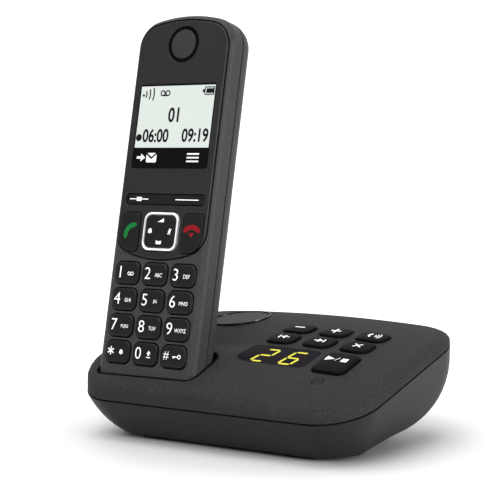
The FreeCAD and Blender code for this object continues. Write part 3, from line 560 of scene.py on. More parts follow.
def draped(obj, place):
    """Moves the points of a flat piece along its normal, so that it follows the base's top."""
    back = place.inverted()
    for vertex in obj.data.vertices:
        x, y, z = back @ (vertex.co / MM)
        flat = place @ Vector((x, y, 0))
        rise = (top_z(flat.x, flat.y + BASE_D / 2) - flat.z) * place.col[2].z
        vertex.co = (place @ Vector((x, y, z + rise))) * MM
    return obj


def behind(x):
    """Place of a socket in the base's back: y runs up and z out of the base."""
    return BASE @ axes((x, BASE_D, SOCKET_Z), (-1, 0, 0), (0, 0, 1), (0, 1, 0))


def pads_at(l):
    """Place between the charging contacts, at l along the handset; z runs up the handset."""
    return HANDSET @ axes((0, l, PAD_N), (1, 0, 0), (0, 0, -1), (0, 1, 0))


big_at, power_at = on_top(BIG_X, BIG_Y), on_top(POWER_X, POWER_Y)
window_at, disc_at = on_top(WIN_X, WIN_Y), on_top(DISC_X, DISC_Y)
base_keys = ["key_" + k for k in "skip_back skip_forward delete volume_down volume_up paging".split()]
key_places = {name: on_top(BK_X[n % 3], BK_Y[n // 3]) for n, name in enumerate(base_keys)}
foot_at = {side + end: (sx * FOOT_X, y) for sx, end in ((-1, "_left"), (1, "_right"))
           for side, y in zip(("front", "back"), FOOT_Y)}


def window_outline(off):
    return rounded(WIN_W + 2 * off, WIN_D + 2 * off, WIN_R + off, nx=8, ny=4)


def base_top():
    """Top shell, with the openings of the well, the keys, the window and the speaker disc."""
    window_cut = [at(window_outline(0.1), z) for z in (-WIN_T, 3)]
    cutters = [top_block("cutter", WALL, WALL, 0.0), well_cutter()]
    cutters += [key_hole(BK_W, BK_D, BK_R, place) for place in key_places.values()]
    cutters += [key_hole(BIG_W, BIG_D, BIG_R, big_at),
                round_hole(POWER_R + RUN, DEEP, power_at, 0.12),
                draped(raw("cutter", *loft(window_cut), window_at), window_at),
                round_hole(DISC_R, DISC_DEPTH, disc_at, 0.3)]
    top = cut(top_block("base_top", 0.0, 0.0, GROOVE_IN), cutters)
    dress(top, SHELL, "base", ["base_top_shell"])


def base_hull():
    """Lower hull, with pockets for the feet and screws and openings for the sockets."""
    holes = [block("cutter", rounded(FOOT_W + 0.3, FOOT_D + 0.3, FOOT_R + 0.15, x, y), -1, FOOT_TOP, BASE)
             for x, y in foot_at.values()]
    holes += [block("cutter", dot(x, SCREW_Y, 2.4, 32), -1, FOOT_H + 1.5, BASE)
              for x in (-SCREW_X, SCREW_X)]
    holes += [block("cutter", rounded(LINE_W + 0.2, LINE_H + 0.2, 0.5), -20, 3, behind(LINE_X)),
              block("cutter", dot(0, 0, JACK_R + 0.1, 40), -20, 3, behind(JACK_X))]
    hull = hull_block("base_hull", 0.0, FOOT_H)
    cut(hull, [hull_block("cutter", WALL, FOOT_H + WALL), joined(holes)])
    dress(hull, SHADED_HULL, "base", ["base_lower_shell"])


def cradle():
    """Cup round the well, cut to the room inside the two shells."""
    cup = section("cradle_cup", FIT + CUP, WELL_FLOOR - CUP, ABOVE)
    low_cup = section("cutter", FIT + CUP, WELL_FLOOR - CUP, ABOVE)
    cut(cup, [top_block("cutter", WALL + 0.3, WALL + 0.02, 0.0, 1.0)], "INTERSECT")
    cut(low_cup, [hull_block("cutter", WALL + 0.1, FOOT_H + WALL)], "INTERSECT")
    cut(cup, [low_cup], "UNION")
    slots = [block("cutter", rounded(PAD_W, PAD_D, 0.5, sx * PAD_X, 0), -3, 4, pads_at(WELL_FLOOR))
             for sx in (-1, 1)]
    cut(cup, [section("cutter", FIT, WELL_FLOOR, ABOVE + 2), joined(slots)])
    dress(cup, SHELL, "base", ["cradle_well"])


def well_shade_ring():
    """Dark ring in the gap between the handset and the well's mouth: painted shade, standing for the shadow in
    that gap.
    """
    profile = ((0.05, -WALL - 0.3), (0.05, 0.0), (0.2, 0.3), (0.45, 0.3), (0.6, 0.1), (0.6, -WALL - 0.3))
    lip = hoop("well_shade_ring", [mouth_row(FIT + off, lift) for off, lift in profile], HANDSET)
    dress(lip, INK_AND_SHADE_BLACK, "base")


def foot(name, x, y):
    """Rubber foot with a rounded sole."""
    rows = [at(rounded(FOOT_W - 2 * i, FOOT_D - 2 * i, FOOT_R - i, x, y), z)
            for i, z in ((0, FOOT_TOP), (0, 0.5), (0.12, 0.18), (0.45, 0.0))]
    dress(raw("look_foot_" + name, *loft(rows), BASE), RUBBER, "base", ["foot_" + name])


def screw(name, x):
    """Cross-head screw, its head down."""
    low = FOOT_H + 0.3
    profile = ((1.5, low), (2.0, low + 0.15), (2.2, low + 0.5), (2.2, low + 1.2), (1.1, low + 1.2),
               (1.1, low + 6.2))
    obj = turned("look_screw_" + name, profile, BASE, x, SCREW_Y, 40)
    cut(obj, [block("cutter", rounded(w, d, 0.1, x, SCREW_Y, 2), low - 1, low + 0.7, BASE)
              for w, d in ((2.5, 0.55), (0.55, 2.5))])
    dress(obj, STEEL, "base", ["base_screw_" + name])


def speaker():
    """Disc over the speaker, a little hollow, and the glossy rim round it; the rim fills the gap round the disc,
    and its black paints that gap's shade.
    """
    r = DISC_R - 0.5
    profile = ((r, -DISC_DEPTH), (r, -0.55), (r - 0.12, -0.3), (r - 0.5, -0.2), (r - 2.5, -0.21),
               (r - 6, -0.22), (1.0, -0.23))
    dress(turned("look_speaker_disc", profile, disc_at), LIGHTER_DISC, "base", ["speaker_disc"])
    rim = [[(x, y, z + RIM_X * x - RIM_Y * y) for x, y in dot(0, 0, DISC_R - i, 72)] for i, z in
           ((0.02, -1.2), (0.02, 0.12), (0.08, 0.3), (0.3, 0.36), (0.42, 0.16), (0.44, -1.2))]
    dress(hoop("speaker_rim", rim, disc_at), GLOSS_RIM, "base")


def power_key():
    """Small round key that lies level with the top."""
    profile = ((POWER_R, -4.0), (POWER_R, -0.2), (POWER_R - 0.07, -0.06), (POWER_R - 0.25, 0.0),
               (0.4, 0.03))
    obj = turned("look_key_power", profile, power_at, n=48)
    dress(obj, SHELL, "key_power_body", ["key_power"])


def counter_window():
    """Dark window of the message counter, bent to the top."""
    window = stack("look_counter_window", lambda i: window_outline(-i), -WIN_T, -0.1, 0.1, window_at,
                   rings=8)
    dress(draped(window, window_at), SMOKED, "base", ["counter_window"])


base_top()
base_hull()
cradle()
well_shade_ring()
for name, (x, y) in foot_at.items():
    foot(name, x, y)
screw("left", -SCREW_X)
screw("right", SCREW_X)
speaker()
power_key()
counter_window()


# ---- printed marks ----
def band(points, width):
    """Outline of a line of the given width that runs through the points."""
    left, right = [], []
    for k, (x, y) in enumerate(points):
        x0, y0 = points[max(k - 1, 0)]
        x1, y1 = points[min(k + 1, len(points) - 1)]
        size = math.hypot(x1 - x0, y1 - y0)
        nx, ny = (y0 - y1) / size * width / 2, (x1 - x0) / size * width / 2
        left.append((x + nx, y + ny))
        right.append((x - nx, y - ny))
    return left + right[::-1]


def ring_mark(cx, cy, r, width):
    """Thin ring in two halves."""
    return [band(arc(cx, cy, r, a, a + 180, 14), width) for a in (0, 180)]


def bar(cx, cy, w, h):
    return [(cx - w / 2, cy - h / 2), (cx + w / 2, cy - h / 2), (cx + w / 2, cy + h / 2),
            (cx - w / 2, cy + h / 2)]


def moved(shape, cx, cy, size=1.0, turn=0.0):
    """Outline scaled, turned by degrees and shifted."""
    c, d = math.cos(math.radians(turn)) * size, math.sin(math.radians(turn)) * size
    return [(cx + x * c - y * d, cy + x * d + y * c) for x, y in shape]


def all_moved(shapes, cx, cy, size=1.0):
    return [moved(shape, cx, cy, size) for shape in shapes]


def word_mesh(text, height, x, y, thin=0.0, narrow=1.0):
    """Points and faces of a text that is height mm tall, centred on x, y."""
    curve = bpy.data.curves.new("text", "FONT")
    curve.body, curve.offset, curve.extrude, curve.resolution_u = text, thin, 0.1, 4
    holder = bpy.data.objects.new("text", curve)
    link(holder)
    graph = bpy.context.evaluated_depsgraph_get()
    mesh = bpy.data.meshes.new_from_object(holder.evaluated_get(graph))
    bpy.data.objects.remove(holder)
    xs, ys = [v.co.x for v in mesh.vertices], [v.co.y for v in mesh.vertices]
    scale = height / (max(ys) - min(ys))
    mx, my = (max(xs) + min(xs)) / 2, (max(ys) + min(ys)) / 2
    points = [(x + (v.co.x - mx) * scale * narrow, y + (v.co.y - my) * scale, v.co.z)
              for v in mesh.vertices]
    return points, [tuple(f.vertices) for f in mesh.polygons]


def marks(name, place, height, material, body, shapes=(), words=()):
    """Thin flat marks: height is their z, or a function that gives it for an outline."""
    level = height if callable(height) else lambda outline: height
    points, faces = [], []
    for shape in shapes:
        k, n, z = len(points), len(shape), level(shape)
        points += at(shape, z) + at(shape, z - MARK_T)
        faces += [tuple(range(k, k + n)), tuple(reversed(range(k + n, k + 2 * n)))]
        faces += [(k + i, k + n + i, k + n + (i + 1) % n, k + (i + 1) % n) for i in range(n)]
    for word in words:
        k = len(points)
        more, cells = word_mesh(*word)
        top = level(more)
        points += [(x, y, top - (0 if z > 0 else MARK_T)) for x, y, z in more]
        faces += [tuple(k + i for i in cell) for cell in cells]
    return dress(raw(name, points, faces, place), material, body, weigh=False)


def crown(cx, cy, hw, hh, z, dome):
    """Gives the height at which a flat mark clears a key top that swells by dome."""
    def level(outline):
        xs, ys = [p[0] - cx for p in outline], [p[1] - cy for p in outline]
        s = [min(1.0, max(abs(x) / hw, abs(y) / hh)) for x, y in zip(xs, ys)]
        over_middle = min(xs) < 0 < max(xs) and min(ys) < 0 < max(ys)
        near = 0.0 if over_middle else min(s)
        return z + max(dome * (1 - near * near), dome * (1 - max(s) ** 2)) + 0.015
    return level


def tape(cx, cy, r, w):
    """Two reels joined by the tape's lower run."""
    reels = ring_mark(cx - 1.25 * r, cy, r, w) + ring_mark(cx + 1.25 * r, cy, r, w)
    return reels + [bar(cx, cy - r, 2.5 * r, w)]


# signs about 1 wide (the receiver nearly 3), moved and scaled to their places
ear = [(1.42, -0.55), (1.3, -0.78), (0.72, -0.66), (0.56, -0.42)]
RECEIVER = (arc(0, -1.5, 1.85, 135, 45, 10) + ear + arc(0, -1.5, 1.15, 62, 118, 8)
            + [(-x, y) for x, y in reversed(ear)])
BELL = [[(-0.5, -0.28), (-0.38, -0.12)] + arc(0, 0.15, 0.33, 180, 0, 10) + [(0.38, -0.12), (0.5, -0.28)],
        dot(0, -0.4, 0.1, 10)]
LOCK_KEY = ring_mark(0.3, 0, 0.17, 0.09) + [bar(-0.18, 0, 0.6, 0.09), bar(-0.4, -0.09, 0.08, 0.16),
                                            bar(-0.24, -0.09, 0.08, 0.16)]
SHIFT = [[(-0.34, 0.08), (0, 0.5), (0.34, 0.08), (0.13, 0.08), (0.13, -0.18), (-0.13, -0.18),
          (-0.13, 0.08)], bar(0, -0.42, 0.7, 0.12)]


# ---- message counter ----
SEG_W, SEG_H, SEG_THICK, SEG_LEAN = 5.5, 5.5, 1.05, 0.2  # a digit's width, half height, bars
SEGMENTS = {"top": (0, 1, 0), "high_right": (0.5, 0.5, 1), "low_right": (0.5, -0.5, 1),
            "foot": (0, -1, 0), "low_left": (-0.5, -0.5, 1), "high_left": (-0.5, 0.5, 1),
            "middle": (0, 0, 0)}
DIGITS = {2: ("top", "high_right", "middle", "low_left", "foot"),
          6: ("top", "high_left", "middle", "low_left", "foot", "low_right")}


def segment(cx, cy, length, upright):
    """One bar of a seven-segment digit."""
    a, b = length / 2, SEG_THICK / 2
    shape = [(-a, 0), (-a + b, b), (a - b, b), (a, 0), (a - b, -b), (-a + b, -b)]
    if upright:
        shape = [(y, x) for x, y in shape]
    return [(cx + x + (cy + y) * SEG_LEAN, cy + y) for x, y in shape]


def counter_digit(value, cx, cy):
    """Lit and unlit bars of one digit."""
    lit, unlit = [], []
    for name, (sx, sy, upright) in SEGMENTS.items():
        length = (SEG_H if upright else SEG_W) - 0.5
        shape = moved(segment(sx * SEG_W, sy * SEG_H, length, upright), cx, cy)
        (lit if name in DIGITS[value] else unlit).append(shape)
    return lit, unlit


first, second = counter_digit(2, -6.0, -0.7), counter_digit(6, 7.0, -0.7)
draped(marks("counter_lit", window_at, -0.05, LIT, "base", first[0] + second[0]), window_at)
draped(marks("counter_unlit", window_at, -0.06, UNLIT, "base", first[1] + second[1]), window_at)


# ---- keys on the base ----
def base_key(node, w, d, r, rise, place, shapes):
    """Domed key of the base, with its mark."""
    low = rise - BK_DROP
    obj = stack("look_" + node, lambda i: rounded(w - 2 * i, d - 2 * i, max(r - 0.6 * i, 0.4)),
                -4.0, low, 0.75, place, dome=BK_DOME, rings=3, steps=5)
    dress(obj, BASE_KEY, node + "_body", [node])
    marks("mark_" + node[4:], place, crown(0, 0, w / 2 - 1, d / 2 - 1, low, BK_DOME), INK,
          node + "_body", shapes)


marks("mark_power", power_at, 0.05, INK_AND_SHADE_BLACK, "key_power_body",
      [band(arc(0, -0.1, 0.8, -235, 55, 20), 0.26), bar(0, 0.5, 0.26, 0.9)])
wave = [band(arc(-1.2, 0, r, -38, 38, 8), 0.42) for r in (1.5, 2.6, 3.7)]
left_arrow, right_arrow = [(-1.0, 0), (1.2, 1.7), (1.2, -1.7)], [(1.0, 0), (-1.2, -1.7), (-1.2, 1.7)]
key_marks = {
    "key_skip_back": [bar(-1.9, 0, 0.65, 3.0), moved(left_arrow, -0.2, 0), bar(1.9, 0, 1.6, 0.65)],
    "key_skip_forward": [bar(1.9, 0, 0.65, 3.0), moved(right_arrow, 0.2, 0), bar(-1.9, 0, 1.6, 0.65)],
    "key_delete": [moved(bar(0, 0, 4.4, 0.62), 0, 0, turn=a) for a in (40, -40)],
    "key_volume_down": [bar(0, 0, 4.6, 0.85)],
    "key_volume_up": [bar(0, 0, 4.6, 0.85), bar(0, 1.4, 0.85, 1.95), bar(0, -1.4, 0.85, 1.95)],
    "key_paging": all_moved(wave, 0.9, 0) + [moved(RECEIVER, -1.7, 0, 1.35, 90)]}
play_marks = [[(-5.4, 0.2), (-5.4, 3.8), (-1.6, 2.0)], band([(-1.0, 0.7), (0.2, 3.3)], 0.26),
              bar(2.9, 1.7, 2.6, 2.8)]
for node, place in key_places.items():
    base_key(node, BK_W, BK_D, BK_R, BK_RISE, place, key_marks[node])
base_key("key_play_stop", BIG_W, BIG_D, BIG_R, BK_RISE + 0.2, big_at, play_marks)


# ---- handset ----
def hs_outline(off):
    """The handset's outline seen from the front, grown by off."""
    return arched(HS_W / 2 + off, HS_BOT - off, HS_TOP + off, HS_RB + off, HS_RT + off,
                  HS_ARCH + off)


def front_block():
    """Front half as a closed block, with the joint line's groove and a rolled front edge."""
    rows = [at(hs_outline(-SEAM_IN), -HS_SEAM + 0.01), at(hs_outline(-SEAM_IN), -HS_SEAM + 0.35),
            at(hs_outline(0.0), -HS_SEAM + 0.5)]
    rows += [at(hs_outline(-i), -drop) for i, drop in roll(HS_FRONT_R, 8)]
    return raw("handset_front", *loft(rows), HANDSET)


def rear_block():
    """Rear half as a closed block, with a rolled rear edge."""
    rows = [at(hs_outline(-i), -HS_T + drop) for i, drop in reversed(roll(HS_REAR_R, 12))]
    rows += [at(hs_outline(0.0), -HS_SEAM - 0.2), at(hs_outline(-SEAM_IN), -HS_SEAM - 0.05)]
    return raw("handset_rear", *loft(rows), HANDSET)


def panel_outline(off):
    """The upper panel's outline, grown by off."""
    return arched(PANEL_HW + off, PANEL_BOT - off, PANEL_TOP + off, PANEL_RB + off,
                  HS_RT - 1.4 + off, HS_ARCH - 1 + off, bot_arch=PANEL_ARCH + off)


def call_outline(side, off):
    """Talk or end key: straight inner side, outer corner follows the panel."""
    x0, x1, y0, y1 = CALL_X0 - off, CALL_X1 + off, CALL_Y0 - off, CALL_Y1 + off
    small, big = CALL_R + off, CALL_BIG_R + off
    pts = arc(x1 - big, y0 + big, big, -90, 0, 10) + arc(x1 - small, y1 - small, small, 0, 90, 6)
    pts += arc(x0 + small, y1 - small, small, 90, 180, 6)
    pts += arc(x0 + small, y0 + small, small, 180, 270, 6)
    return pts if side > 0 else [(-x, y) for x, y in reversed(pts)]


number_keys = ["key_" + k for k in "1 2 3 4 5 6 7 8 9 star 0 hash".split()]
key_at = {name: ((n % 3 - 1) * PITCH_X, (1.5 - n // 3) * PITCH_Y)
          for n, name in enumerate(number_keys)}


def front_shell():
    """Front shell, with openings for the panel, the keys, the microphone and what the panel covers."""
    room = [at(hs_outline(-HS_WALL), z) for z in (-HS_SEAM - 1, -2.8)]
    cutters = [raw("cutter", *loft(room), HANDSET),
               flare(panel_outline, HANDSET, PANEL_T + 0.1, PANEL_ROOM, 0.05)]
    cutters += [key_hole(KEY_W, KEY_H, KEY_R, HANDSET, cx=x, cy=y) for x, y in key_at.values()]
    cutters.append(round_hole(0.6, DEEP, HANDSET, 0.1, 0, HS_BOT + 5.2, 20))
    covered = [rounded(LENS_W - 1.6, LENS_H - 1.6, 1.0, 0, LENS_Y), dot(0, EAR_Y, EAR_R - 1.2, 40),
               rounded(SOFT_W + 2 * RUN, SOFT_H + 2 * RUN, 1.2, 0, SOFT_Y),
               rounded(NAV_W + 2 * RUN, NAV_H + 2 * RUN, NAV_R + RUN, 0, NAV_Y),
               call_outline(-1, RUN), call_outline(1, RUN)]
    cutters += [block("cutter", outline, -4, 1, HANDSET) for outline in covered]
    dress(cut(front_block(), cutters), BODY, "handset", ["handset_front_shell"])


def rear_shell():
    """Rear shell, with the battery room, the cover's seat and the places of the charging pads."""
    w, h = 2 * COVER_HW, COVER_Y1 - COVER_Y0
    room = [at(hs_outline(-HS_WALL - inner), z) for z, inner in
            ((-HS_T + HS_WALL, 5.0), (-HS_T + 4.4, 1.6), (-HS_T + 8.5, 0.0), (-HS_SEAM + 1, 0.0))]
    cutters = [raw("cutter", *loft(room), HANDSET),
               block("cutter", rounded(w + 0.3, h + 0.3, 0.6, 0, COVER_MID), -HS_T - 3, -HS_T + COVER_T,
                     HANDSET),
               block("cutter", rounded(w - 2.4, h - 3, 0.6, 0, COVER_MID), -HS_T - 2, -HS_T + 7, HANDSET)]
    cutters += [block("cutter", rounded(PAD_W, PAD_D, 0.4, sx * PAD_X, 0), -1.0, 0.6, pads_at(HS_BOT))
                for sx in (-1, 1)]
    dress(cut(rear_block(), cutters), BODY, "handset", ["handset_rear_shell"])


def upper_panel():
    """Glossy panel, with openings for the display, the earpiece and the keys in it."""
    panel = stack("handset_panel", lambda i: panel_outline(-i - PANEL_IN), -PANEL_T, 0.0, 0.4, HANDSET)
    cutters = [round_hole(EAR_R, DEEP, HANDSET, 0.2, 0, EAR_Y),
               key_hole(SOFT_W, SOFT_H, SOFT_R, HANDSET, 0.2, 0, SOFT_Y),
               key_hole(NAV_W, NAV_H, NAV_R, HANDSET, 0.25, 0, NAV_Y),
               block("cutter", rounded(LENS_W + 0.2, LENS_H + 0.2, LENS_R, 0, LENS_Y), -5, 5, HANDSET)]
    cutters += [flare(lambda g, s=s: call_outline(s, g), HANDSET, DEEP, RUN, 0.12) for s in (-1, 1)]
    dress(cut(panel, cutters), PANEL, "handset", ["handset_upper_panel"])


front_shell()
rear_shell()
upper_panel()


# ---- keys on the handset ----
DIGIT_X, DIGIT_Y, DIGIT_H, HASH_H, DIGIT_THIN = -3.3, 0.25, 4.7, 3.3, -0.008
LETTER_X, LETTER_Y, LETTER_H, LETTER_NARROW = 2.15, -0.35, 1.55, 0.84
legends = dict(zip(number_keys, "1 2 3 4 5 6 7 8 9 * 0 #".split()))
letters = dict(zip(number_keys[1:9], "ABC DEF GHI JKL MNO PQRS TUV WXYZ".split()))
star = [moved(bar(0, 0, 3.4, 0.5), DIGIT_X, DIGIT_Y, turn=a) for a in (90, 30, -30)]
small_icons = {"key_1": tape(2.0, -0.3, 0.62, 0.26), "key_star": star + all_moved(BELL, 2.0, 0.0, 2.2),
               "key_0": all_moved(SHIFT, 2.0, 0.0, 2.9), "key_hash": all_moved(LOCK_KEY, 1.9, 0.1, 4.0)}


def key_words(name, x, y):
    """Digit and letters of a number key; the star is drawn as bars instead."""
    words, legend = [], legends[name]
    if legend != "*":
        height = HASH_H if legend == "#" else DIGIT_H
        words.append((legend, height, x + DIGIT_X, y + DIGIT_Y, DIGIT_THIN))
    if name in letters:
        words.append((letters[name], LETTER_H, x + LETTER_X, y + LETTER_Y, 0.0, LETTER_NARROW))
    return words


def number_key(name, x, y):
    """One key of the number pad, with what is printed on it."""
    low = KEY_RISE - KEY_DROP
    obj = stack("look_" + name, lambda i: rounded(KEY_W - 2 * i, KEY_H - 2 * i,
                                                  max(KEY_R - 0.5 * i, 0.5), x, y),
                KEY_BOT, low, 0.75, HANDSET, dome=KEY_DOME, rings=3, steps=5)
    dress(obj, KEY, name + "_body", [name])
    level = crown(x, y, KEY_W / 2 - 0.75, KEY_H / 2 - 0.75, low, KEY_DOME)
    icons = all_moved(small_icons.get(name, []), x, y)
    marks("mark_" + name[4:], HANDSET, level, INK, name + "_body", icons, key_words(name, x, y))


def call_key(node, side, ink, shapes):
    """Talk or end key with its coloured receiver."""
    obj = stack("look_" + node, lambda i: call_outline(side, -i), KEY_BOT, CALL_RISE, 0.5, HANDSET,
                dome=0.12, rings=2)
    dress(obj, KEY, node + "_body", [node])
    marks("mark_" + node, HANDSET, CALL_RISE + 0.12, ink, node + "_body", shapes)


def softkey_bar():
    """Strip with the two soft keys and its white marks."""
    obj = stack("look_softkey_bar", lambda i: rounded(SOFT_W - 2 * i, SOFT_H - 2 * i, SOFT_R, 0, SOFT_Y),
                KEY_BOT + 0.4, -0.35, 0.3, HANDSET)
    dress(obj, KEY, "softkey_bar_body", ["softkey_bar"])
    marks("mark_softkey", HANDSET, -0.33, INK, "softkey_bar_body",
          [bar(-16.4, SOFT_Y, 3.2, 0.36), bar(-13.2, SOFT_Y, 2.6, 1.6), bar(-10.1, SOFT_Y, 3.0, 0.36),
           bar(11.0, SOFT_Y, 11.6, 0.36)])


for name, (x, y) in key_at.items():
    number_key(name, x, y)
call_x, call_y = (CALL_X0 + CALL_X1) / 2, (CALL_Y0 + CALL_Y1) / 2
down_arrow = [(-0.6, 0.2), (0.6, 0.2), (0, -0.6)]
call_key("talk_key", -1, GREEN, [moved(RECEIVER, -call_x - 0.5, call_y + 1.4, 2.9, 48)])
call_key("end_key", 1, RED, [moved(RECEIVER, call_x, call_y + 2.6, 2.9),
                             moved(down_arrow, call_x, call_y - 0.2, 2.4)])
softkey_bar()


# ---- navigation key ----
def nav_frame():
    """Chrome frame round the four-way key; its half-diffuse brightness is painted reflection."""
    rows = [at(rounded(NAV_W - 2 * i, NAV_H - 2 * i, NAV_R - 0.7 * i, 0, NAV_Y, 10), z) for i, z in
            ((0.0, -2.6), (0.0, 0.2), (0.12, 0.5), (0.4, 0.7), (0.65, 0.72), (0.85, 0.6), (0.95, 0.3),
             (NAV_RIM, 0.0), (NAV_RIM, -2.6))]
    dress(hoop("look_nav_frame", rows, HANDSET), CHROME, "nav_key", ["nav_key_frame"])


def nav_shapes():
    """Marks of the four-way key: corner arrow above, bell left, microphone right, book below."""
    microphone = [band(arc(0, 0.25, 0.5, -180, 0, 8), 0.2), bar(0, 0.55, 0.55, 1.0),
                  bar(0, -0.55, 0.2, 0.6), bar(0, -0.85, 0.9, 0.2), band([(-0.8, -0.9), (0.8, 0.9)], 0.2)]
    page = [(-1.3, 0.7), (-0.12, 0.5), (-0.12, -0.8), (-1.3, -0.6)]
    book = [[(side * x, y) for x, y in page] for side in (1, -1)]
    corner = [(-1.5, -0.75), (1.5, -0.75), (1.5, 0.75)]
    return ([moved(corner, 0, NAV_Y + 4.5)] + all_moved(BELL, -4.9, NAV_Y, 2.3)
            + all_moved(microphone, 4.9, NAV_Y, 1.15) + all_moved(book, 0, NAV_Y - 4.5))


def nav_cap():
    """Hollowed cap of the four-way key."""
    w, h, rise, dome = NAV_W - 2 * NAV_RIM, NAV_H - 2 * NAV_RIM, 0.75, -0.3
    cap = stack("look_nav_cap", lambda i: rounded(w - 2 * i, h - 2 * i, NAV_R - 0.85 - 0.5 * i, 0, NAV_Y),
                -1.0, rise, 0.45, HANDSET, dome=dome, rings=4)
    dress(cap, KEY, "nav_key", ["nav_key_cap"])
    marks("mark_nav", HANDSET, crown(0, NAV_Y, w / 2 - 0.4, h / 2 - 0.4, rise, dome), INK, "nav_key",
          nav_shapes())


nav_frame()
nav_cap()


# ---- earpiece ----
floor_r, face_r = EAR_R - 0.2, EAR_DISC
ear_floor = turned("look_earpiece_ring", ((floor_r, -PANEL_T), (floor_r, -0.75), (floor_r - 0.15, -0.7),
                                          (1.0, -0.7)), HANDSET, 0, EAR_Y)
dress(ear_floor, INK_AND_SHADE_BLACK, "handset", ["earpiece_disc"])
ear_face = turned("earpiece_face", ((face_r, -0.75), (face_r, -0.25), (face_r - 0.08, -0.1),
                                    (face_r - 0.3, 0.0), (face_r - 2.5, 0.05), (0.8, 0.08)),
                  HANDSET, 0, EAR_Y)
dress(ear_face, EAR_FACE, "handset")


# ---- display ----
LCD_X, LCD_Y0, LCD_Y1 = 18.7, 67.7, 93.3


def lens_outline(inset):
    return rounded(LENS_W - 2 * inset, LENS_H - 2 * inset, LENS_R - inset / 2, 0, LENS_Y)


def display_ink():
    """Dark content of the display: signal, tape, battery, clock and figures."""
    signal = [dot(-17.2, 89.6, 0.55)]
    signal += [band(arc(-19.2, 90.0, r, -a, a, 10), 0.6) for r, a in ((3.5, 24), (5.4, 23), (7.3, 21))]
    battery = [bar(16.1, 92.35, 4.6, 0.42), bar(16.1, 89.35, 4.6, 0.42), bar(18.2, 90.85, 0.42, 3.4),
               bar(13.75, 90.85, 0.42, 3.0), bar(13.1, 90.85, 0.9, 1.3), bar(16.2, 90.85, 3.6, 1.9)]
    clock = [dot(-17.1, 71.9, 1.5)]
    marks("display_ink", HANDSET, -0.06, SCREEN_INK, "handset",
          signal + tape(-6.1, 90.3, 1.0, 0.55) + battery + clock,
          [("01", 6.2, -0.6, 81.2, 0.025, 0.8), ("06:00", 5.7, -8.6, 72.7, 0.025, 0.8),
           ("09:19", 5.7, 11.3, 72.7, 0.025, 0.8)])


def display_white():
    """White signs under the display: arrow, envelope and menu bars."""
    arrow = [(-16.9, 64.1), (-14.8, 64.1), (-14.8, 65.2), (-12.6, 63.6), (-14.8, 62.0), (-14.8, 63.1),
             (-16.9, 63.1)]
    envelope = [[(-11.5, 65.5), (-9.4, 63.9), (-7.3, 65.5)],
                [(-12.0, 64.9), (-9.4, 62.9), (-6.8, 64.9), (-6.8, 62.0), (-7.2, 61.6), (-11.6, 61.6),
                 (-12.0, 62.0)]]
    menu = [bar(11.5, 63.6 + k, 6.0, 0.62) for k in (-1.5, 0, 1.5)]
    marks("display_white", HANDSET, -0.07, SCREEN_WHITE, "handset", [arrow] + envelope + menu)


lens = stack("look_display_lens", lens_outline, -PANEL_T, -0.1, 0.12, HANDSET)
dress(lens, SCREEN_GLASS, "handset", ["display_lens"])
marks("display_field", HANDSET, -0.09, SCREEN, "handset",
      [bar(0, (LCD_Y0 + LCD_Y1) / 2, 2 * LCD_X, LCD_Y1 - LCD_Y0)])
display_ink()
display_white()


# ---- battery cover ----
cover_rows = [at(rounded(2 * (COVER_HW - i), COVER_Y1 - COVER_Y0 - 2 * i, 0.5, 0, COVER_MID), -HS_T + z)
              for i, z in ((0, COVER_T), (0, 0.3), (0.1, 0.1), (0.3, 0))]
cover = raw("look_battery_cover", *loft(cover_rows), HANDSET)
cut(cover, [block("cutter", rounded(10, 0.8, 0.39, 0, COVER_Y1 - 6 - 2.2 * k), -HS_T - 1, -HS_T + 0.35,
                  HANDSET) for k in range(3)])
dress(cover, BODY, "battery_cover_body", ["battery_cover"])


# ---- floor, light and camera, in metres ----
# The floor's glow grows with distance from the middle: painted shade on the floor round the base, and painted
# light farther out.
FLOOR_SIZE, FADE_FROM, FADE_TO, FADE_GLOW = 60.0, 0.065, 0.18, 0.7
bpy.ops.mesh.primitive_plane_add(size=FLOOR_SIZE)
floor = bpy.context.object
floor.name = "floor"
floor_look = plastic("floor_white", [0.6] * 3, 0.6, spread=0.005, shine=0.1)
floor_nodes, floor_links = floor_look.node_tree.nodes, floor_look.node_tree.links
floor_nodes["Principled BSDF"].inputs["Emission Color"].default_value = (1, 1, 1, 1)
distance = floor_nodes.new("ShaderNodeVectorMath")
distance.operation = "LENGTH"
floor_links.new(floor_nodes["Texture Coordinate"].outputs["Object"], distance.inputs[0])
fade = floor_nodes.new("ShaderNodeMapRange")
for key, value in (("From Min", FADE_FROM), ("From Max", FADE_TO), ("To Min", 0.0), ("To Max", FADE_GLOW)):
    fade.inputs[key].default_value = value
floor_links.new(distance.outputs["Value"], fade.inputs["Value"])
floor_links.new(fade.outputs["Result"], floor_nodes["Principled BSDF"].inputs["Emission Strength"])
floor.data.materials.append(floor_look)

world = bpy.data.worlds.new("studio")
world.use_nodes = True
world.node_tree.nodes["Background"].inputs["Color"].default_value = (1, 1, 1, 1)
world.node_tree.nodes["Background"].inputs["Strength"].default_value = 0.35
bpy.context.scene.world = world
bpy.context.scene.view_settings.view_transform = "Standard"


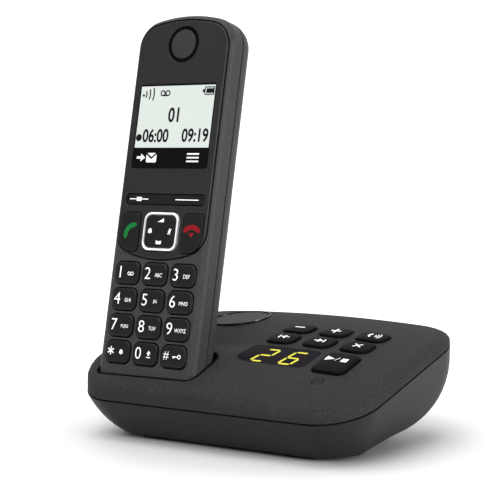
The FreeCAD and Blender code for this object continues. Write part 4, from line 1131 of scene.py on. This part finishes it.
def soft_light(name, place, target, size, power):
    """Square soft box that faces its target."""
    data = bpy.data.lights.new(name, "AREA")
    data.size, data.energy = size, power
    lamp = bpy.data.objects.new(name, data)
    lamp.location = place
    lamp.rotation_euler = (Vector(target) - Vector(place)).to_track_quat("-Z", "Y").to_euler()
    link(lamp)


soft_light("over_light", (-0.15, -0.35, 1.4), (0, 0, 0), 1.5, 20.0)
soft_light("front_light", (0.3, -1.3, 1.1), (0, 0, 0.05), 1.0, 14.0)
soft_light("side_light", (1.35, 0.2, 0.26), (0, 0, 0.04), 0.5, 14.0)

CAM_AT = (0.3363, -0.5039, 0.11205)
CAM_AZ, CAM_DOWN, CAM_ROLL, CAM_LENS = 34.39, 3.43, 0.23, 108.0
phi, psi, roll = (math.radians(a) for a in (CAM_AZ, CAM_DOWN, CAM_ROLL))
right = Vector((math.cos(phi), math.sin(phi), 0))
ahead = Vector((-math.sin(phi) * math.cos(psi), math.cos(phi) * math.cos(psi), -math.sin(psi)))
upward = right.cross(ahead)
cam_x = right * math.cos(roll) + upward * math.sin(roll)
cam_y = upward * math.cos(roll) - right * math.sin(roll)
cam_data = bpy.data.cameras.new("camera")
cam_data.lens, cam_data.sensor_width = CAM_LENS, 36.0
cam_data.sensor_fit = "HORIZONTAL"
camera = bpy.data.objects.new("camera", cam_data)
camera.matrix_world = axes(CAM_AT, cam_x, cam_y, -ahead)
link(camera)
bpy.context.scene.camera = camera

BACKDROP_W, BACKDROP_H, BACKDROP_AWAY, BACKDROP_UP = 9.0, 4.0, 2.9, 1.99
bpy.ops.mesh.primitive_plane_add(size=1.0)
backdrop = bpy.context.object
backdrop.name = "backdrop"
level_up = Vector((0, 0, 1))
backdrop_at = Vector((ahead.x, ahead.y, 0)).normalized() * BACKDROP_AWAY + level_up * BACKDROP_UP
backdrop.matrix_world = (axes(backdrop_at, right, level_up, right.cross(level_up))
                         @ Matrix.Diagonal((BACKDROP_W, BACKDROP_H, 1.0, 1.0)))
backdrop.data.materials.append(glow("backdrop_white", (1, 1, 1), 1.0))
